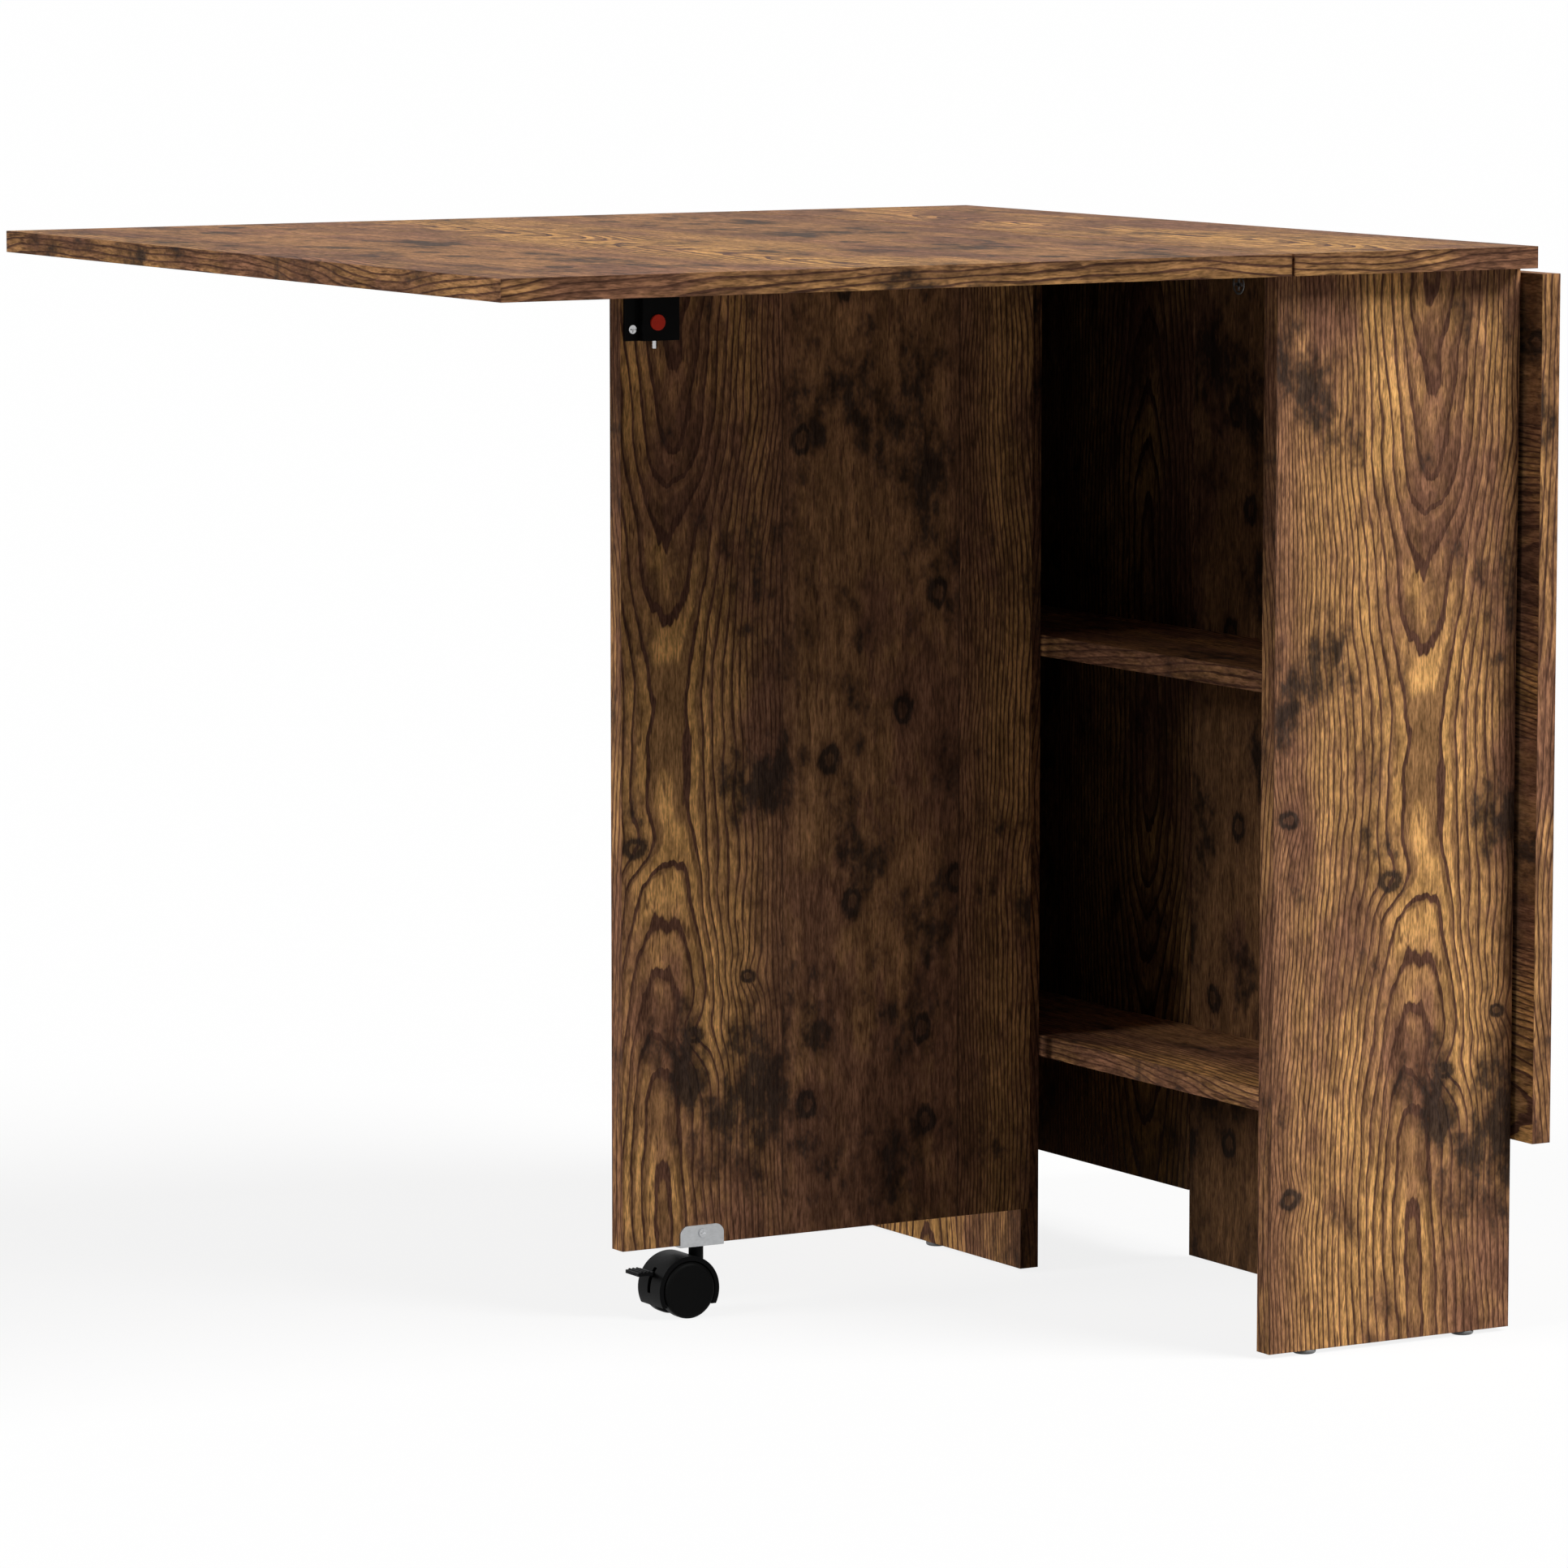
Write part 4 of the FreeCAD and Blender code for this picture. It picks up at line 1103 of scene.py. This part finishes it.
class TABLE_OT_fit_hinges(bpy.types.Operator):
    """Fits the hinges of the leaves and the gates, with their pins and screws"""

    bl_idname = "table.fit_hinges"
    bl_label = "Fit the hinges"

    def execute(self, context):
        fittings = context.scene.table_fittings
        plate = make_metal("hinge_plate", fittings.zinc, roughness=0.40)
        steel = make_metal("screw_steel", fittings.steel, roughness=0.30)
        plates = ["leaf_hinge_top_plates", "gate_hinge_wall_plates"]
        screws = ["leaf_hinge_top_screws", "gate_hinge_wall_screws"]
        for side in SIDES:
            plates += [side + "_leaf_hinge_plates", side + "_gate_hinge_plates"]
            screws += [side + "_leaf_screws", side + "_gate_hinge_screws"]
        for node in plates:
            round_copy(node + "_pressed", node, plate, fittings.metal_arris)
        for node in screws:
            round_copy(node + "_driven", node, steel, fittings.metal_arris)
        for node in ("leaf_hinge_pins", "gate_hinge_pins"):
            round_copy(node + "_headed", node, steel, fittings.metal_arris)
        return {"FINISHED"}


class TABLE_OT_fit_latches(bpy.types.Operator):
    """Fits the latches: housing, red button, bolt, spring, screws and the catch on the leaf"""

    bl_idname = "table.fit_latches"
    bl_label = "Fit the latches"

    def execute(self, context):
        fittings = context.scene.table_fittings
        black = make_plastic("latch_plastic", fittings.black, roughness=0.5, gloss=0.05)
        red = make_plastic("button_plastic", fittings.red, roughness=0.55, gloss=0.2)
        steel = make_metal("latch_steel", fittings.steel, roughness=0.28)
        moulded = fittings.plastic_arris
        for side in SIDES:
            latch = side + "_latch_"
            round_copy(latch + "case", latch + "housing", black, moulded)
            round_copy(latch + "catch_block", latch + "catch", black, moulded)
            round_copy(side + "_release_button", latch + "button", red, moulded)
            round_copy(side + "_bolt_rod", latch + "bolt", steel, fittings.metal_arris)
            round_copy(latch + "screw_set", latch + "screws", steel, fittings.metal_arris)
            wind_spring(side + "_coil_spring", latch + "spring", fittings, steel)
        return {"FINISHED"}


class TABLE_OT_fit_casters(bpy.types.Operator):
    """Fits the braked casters under the gates, with their folded brackets"""

    bl_idname = "table.fit_casters"
    bl_label = "Fit the casters"

    def execute(self, context):
        fittings = context.scene.table_fittings
        zinc = make_metal("bracket_zinc", fittings.zinc, roughness=0.5)
        steel = make_metal("caster_steel", fittings.zinc, roughness=0.35)
        tyre = make_plastic("tyre_plastic", fittings.black, roughness=0.5, gloss=0.05)
        black = make_plastic("hood_plastic", fittings.hood, roughness=0.42, gloss=0.05)
        arris = fittings.metal_arris
        moulded = fittings.plastic_arris
        for side in SIDES:
            caster = side + "_caster_"
            hood = caster + "hood"
            bracket = caster + "bracket"
            round_copy(side + "_bracket_strap", bracket, zinc, arris, corner=fittings.bracket_corner)
            round_copy(side + "_bracket_screw_set", bracket + "_screws", steel, fittings.fine_arris)
            round_copy(side + "_swivel_stem", caster + "stem", steel, arris)
            round_copy(side + "_axle_pins", caster + "pins", steel, arris)
            round_copy(side + "_hood_shell", hood, black, moulded, HOOD_EDGE_FACES)
            round_copy(side + "_brake_lever", caster + "brake_pedal", black, moulded)
            for end in ("_near", "_far"):
                roll_wheel(side + end + "_tyre", side + "_caster" + end + "_wheel", hood, fittings, tyre)
        return {"FINISHED"}


PROPERTY_GROUPS = {
    "table_wood": TableWood,
    "table_boards": TableBoards,
    "table_fittings": TableFittings,
    "table_stage": TableStage,
}
OPERATORS = (
    TABLE_OT_set_stage,
    TABLE_OT_cut_boards,
    TABLE_OT_fit_joinery,
    TABLE_OT_fit_hinges,
    TABLE_OT_fit_latches,
    TABLE_OT_fit_casters,
)


class TABLE_PT_dressing(bpy.types.Panel):
    """Lists the table's finishes and the steps that dress it"""

    bl_idname = "TABLE_PT_dressing"
    bl_label = "Drop-leaf table"
    bl_space_type = "VIEW_3D"
    bl_region_type = "UI"
    bl_category = "Table"

    def draw(self, context):
        for operator in OPERATORS:
            self.layout.operator(operator.bl_idname)
        for group_name, group_class in PROPERTY_GROUPS.items():
            box = self.layout.box()
            for property_name in group_class.__annotations__:
                box.prop(getattr(context.scene, group_name), property_name)


def register():
    for group_name, group_class in PROPERTY_GROUPS.items():
        bpy.utils.register_class(group_class)
        setattr(bpy.types.Scene, group_name, PointerProperty(type=group_class))
    for operator in OPERATORS:
        bpy.utils.register_class(operator)
    bpy.utils.register_class(TABLE_PT_dressing)


def unregister():
    bpy.utils.unregister_class(TABLE_PT_dressing)
    for operator in reversed(OPERATORS):
        bpy.utils.unregister_class(operator)
    for group_name, group_class in PROPERTY_GROUPS.items():
        delattr(bpy.types.Scene, group_name)
        bpy.utils.unregister_class(group_class)


def main():
    register()
    bpy.ops.table.set_stage()
    bpy.ops.table.cut_boards()
    bpy.ops.table.fit_joinery()
    bpy.ops.table.fit_hinges()
    bpy.ops.table.fit_latches()
    bpy.ops.table.fit_casters()


if __name__ == "__main__":
    main()
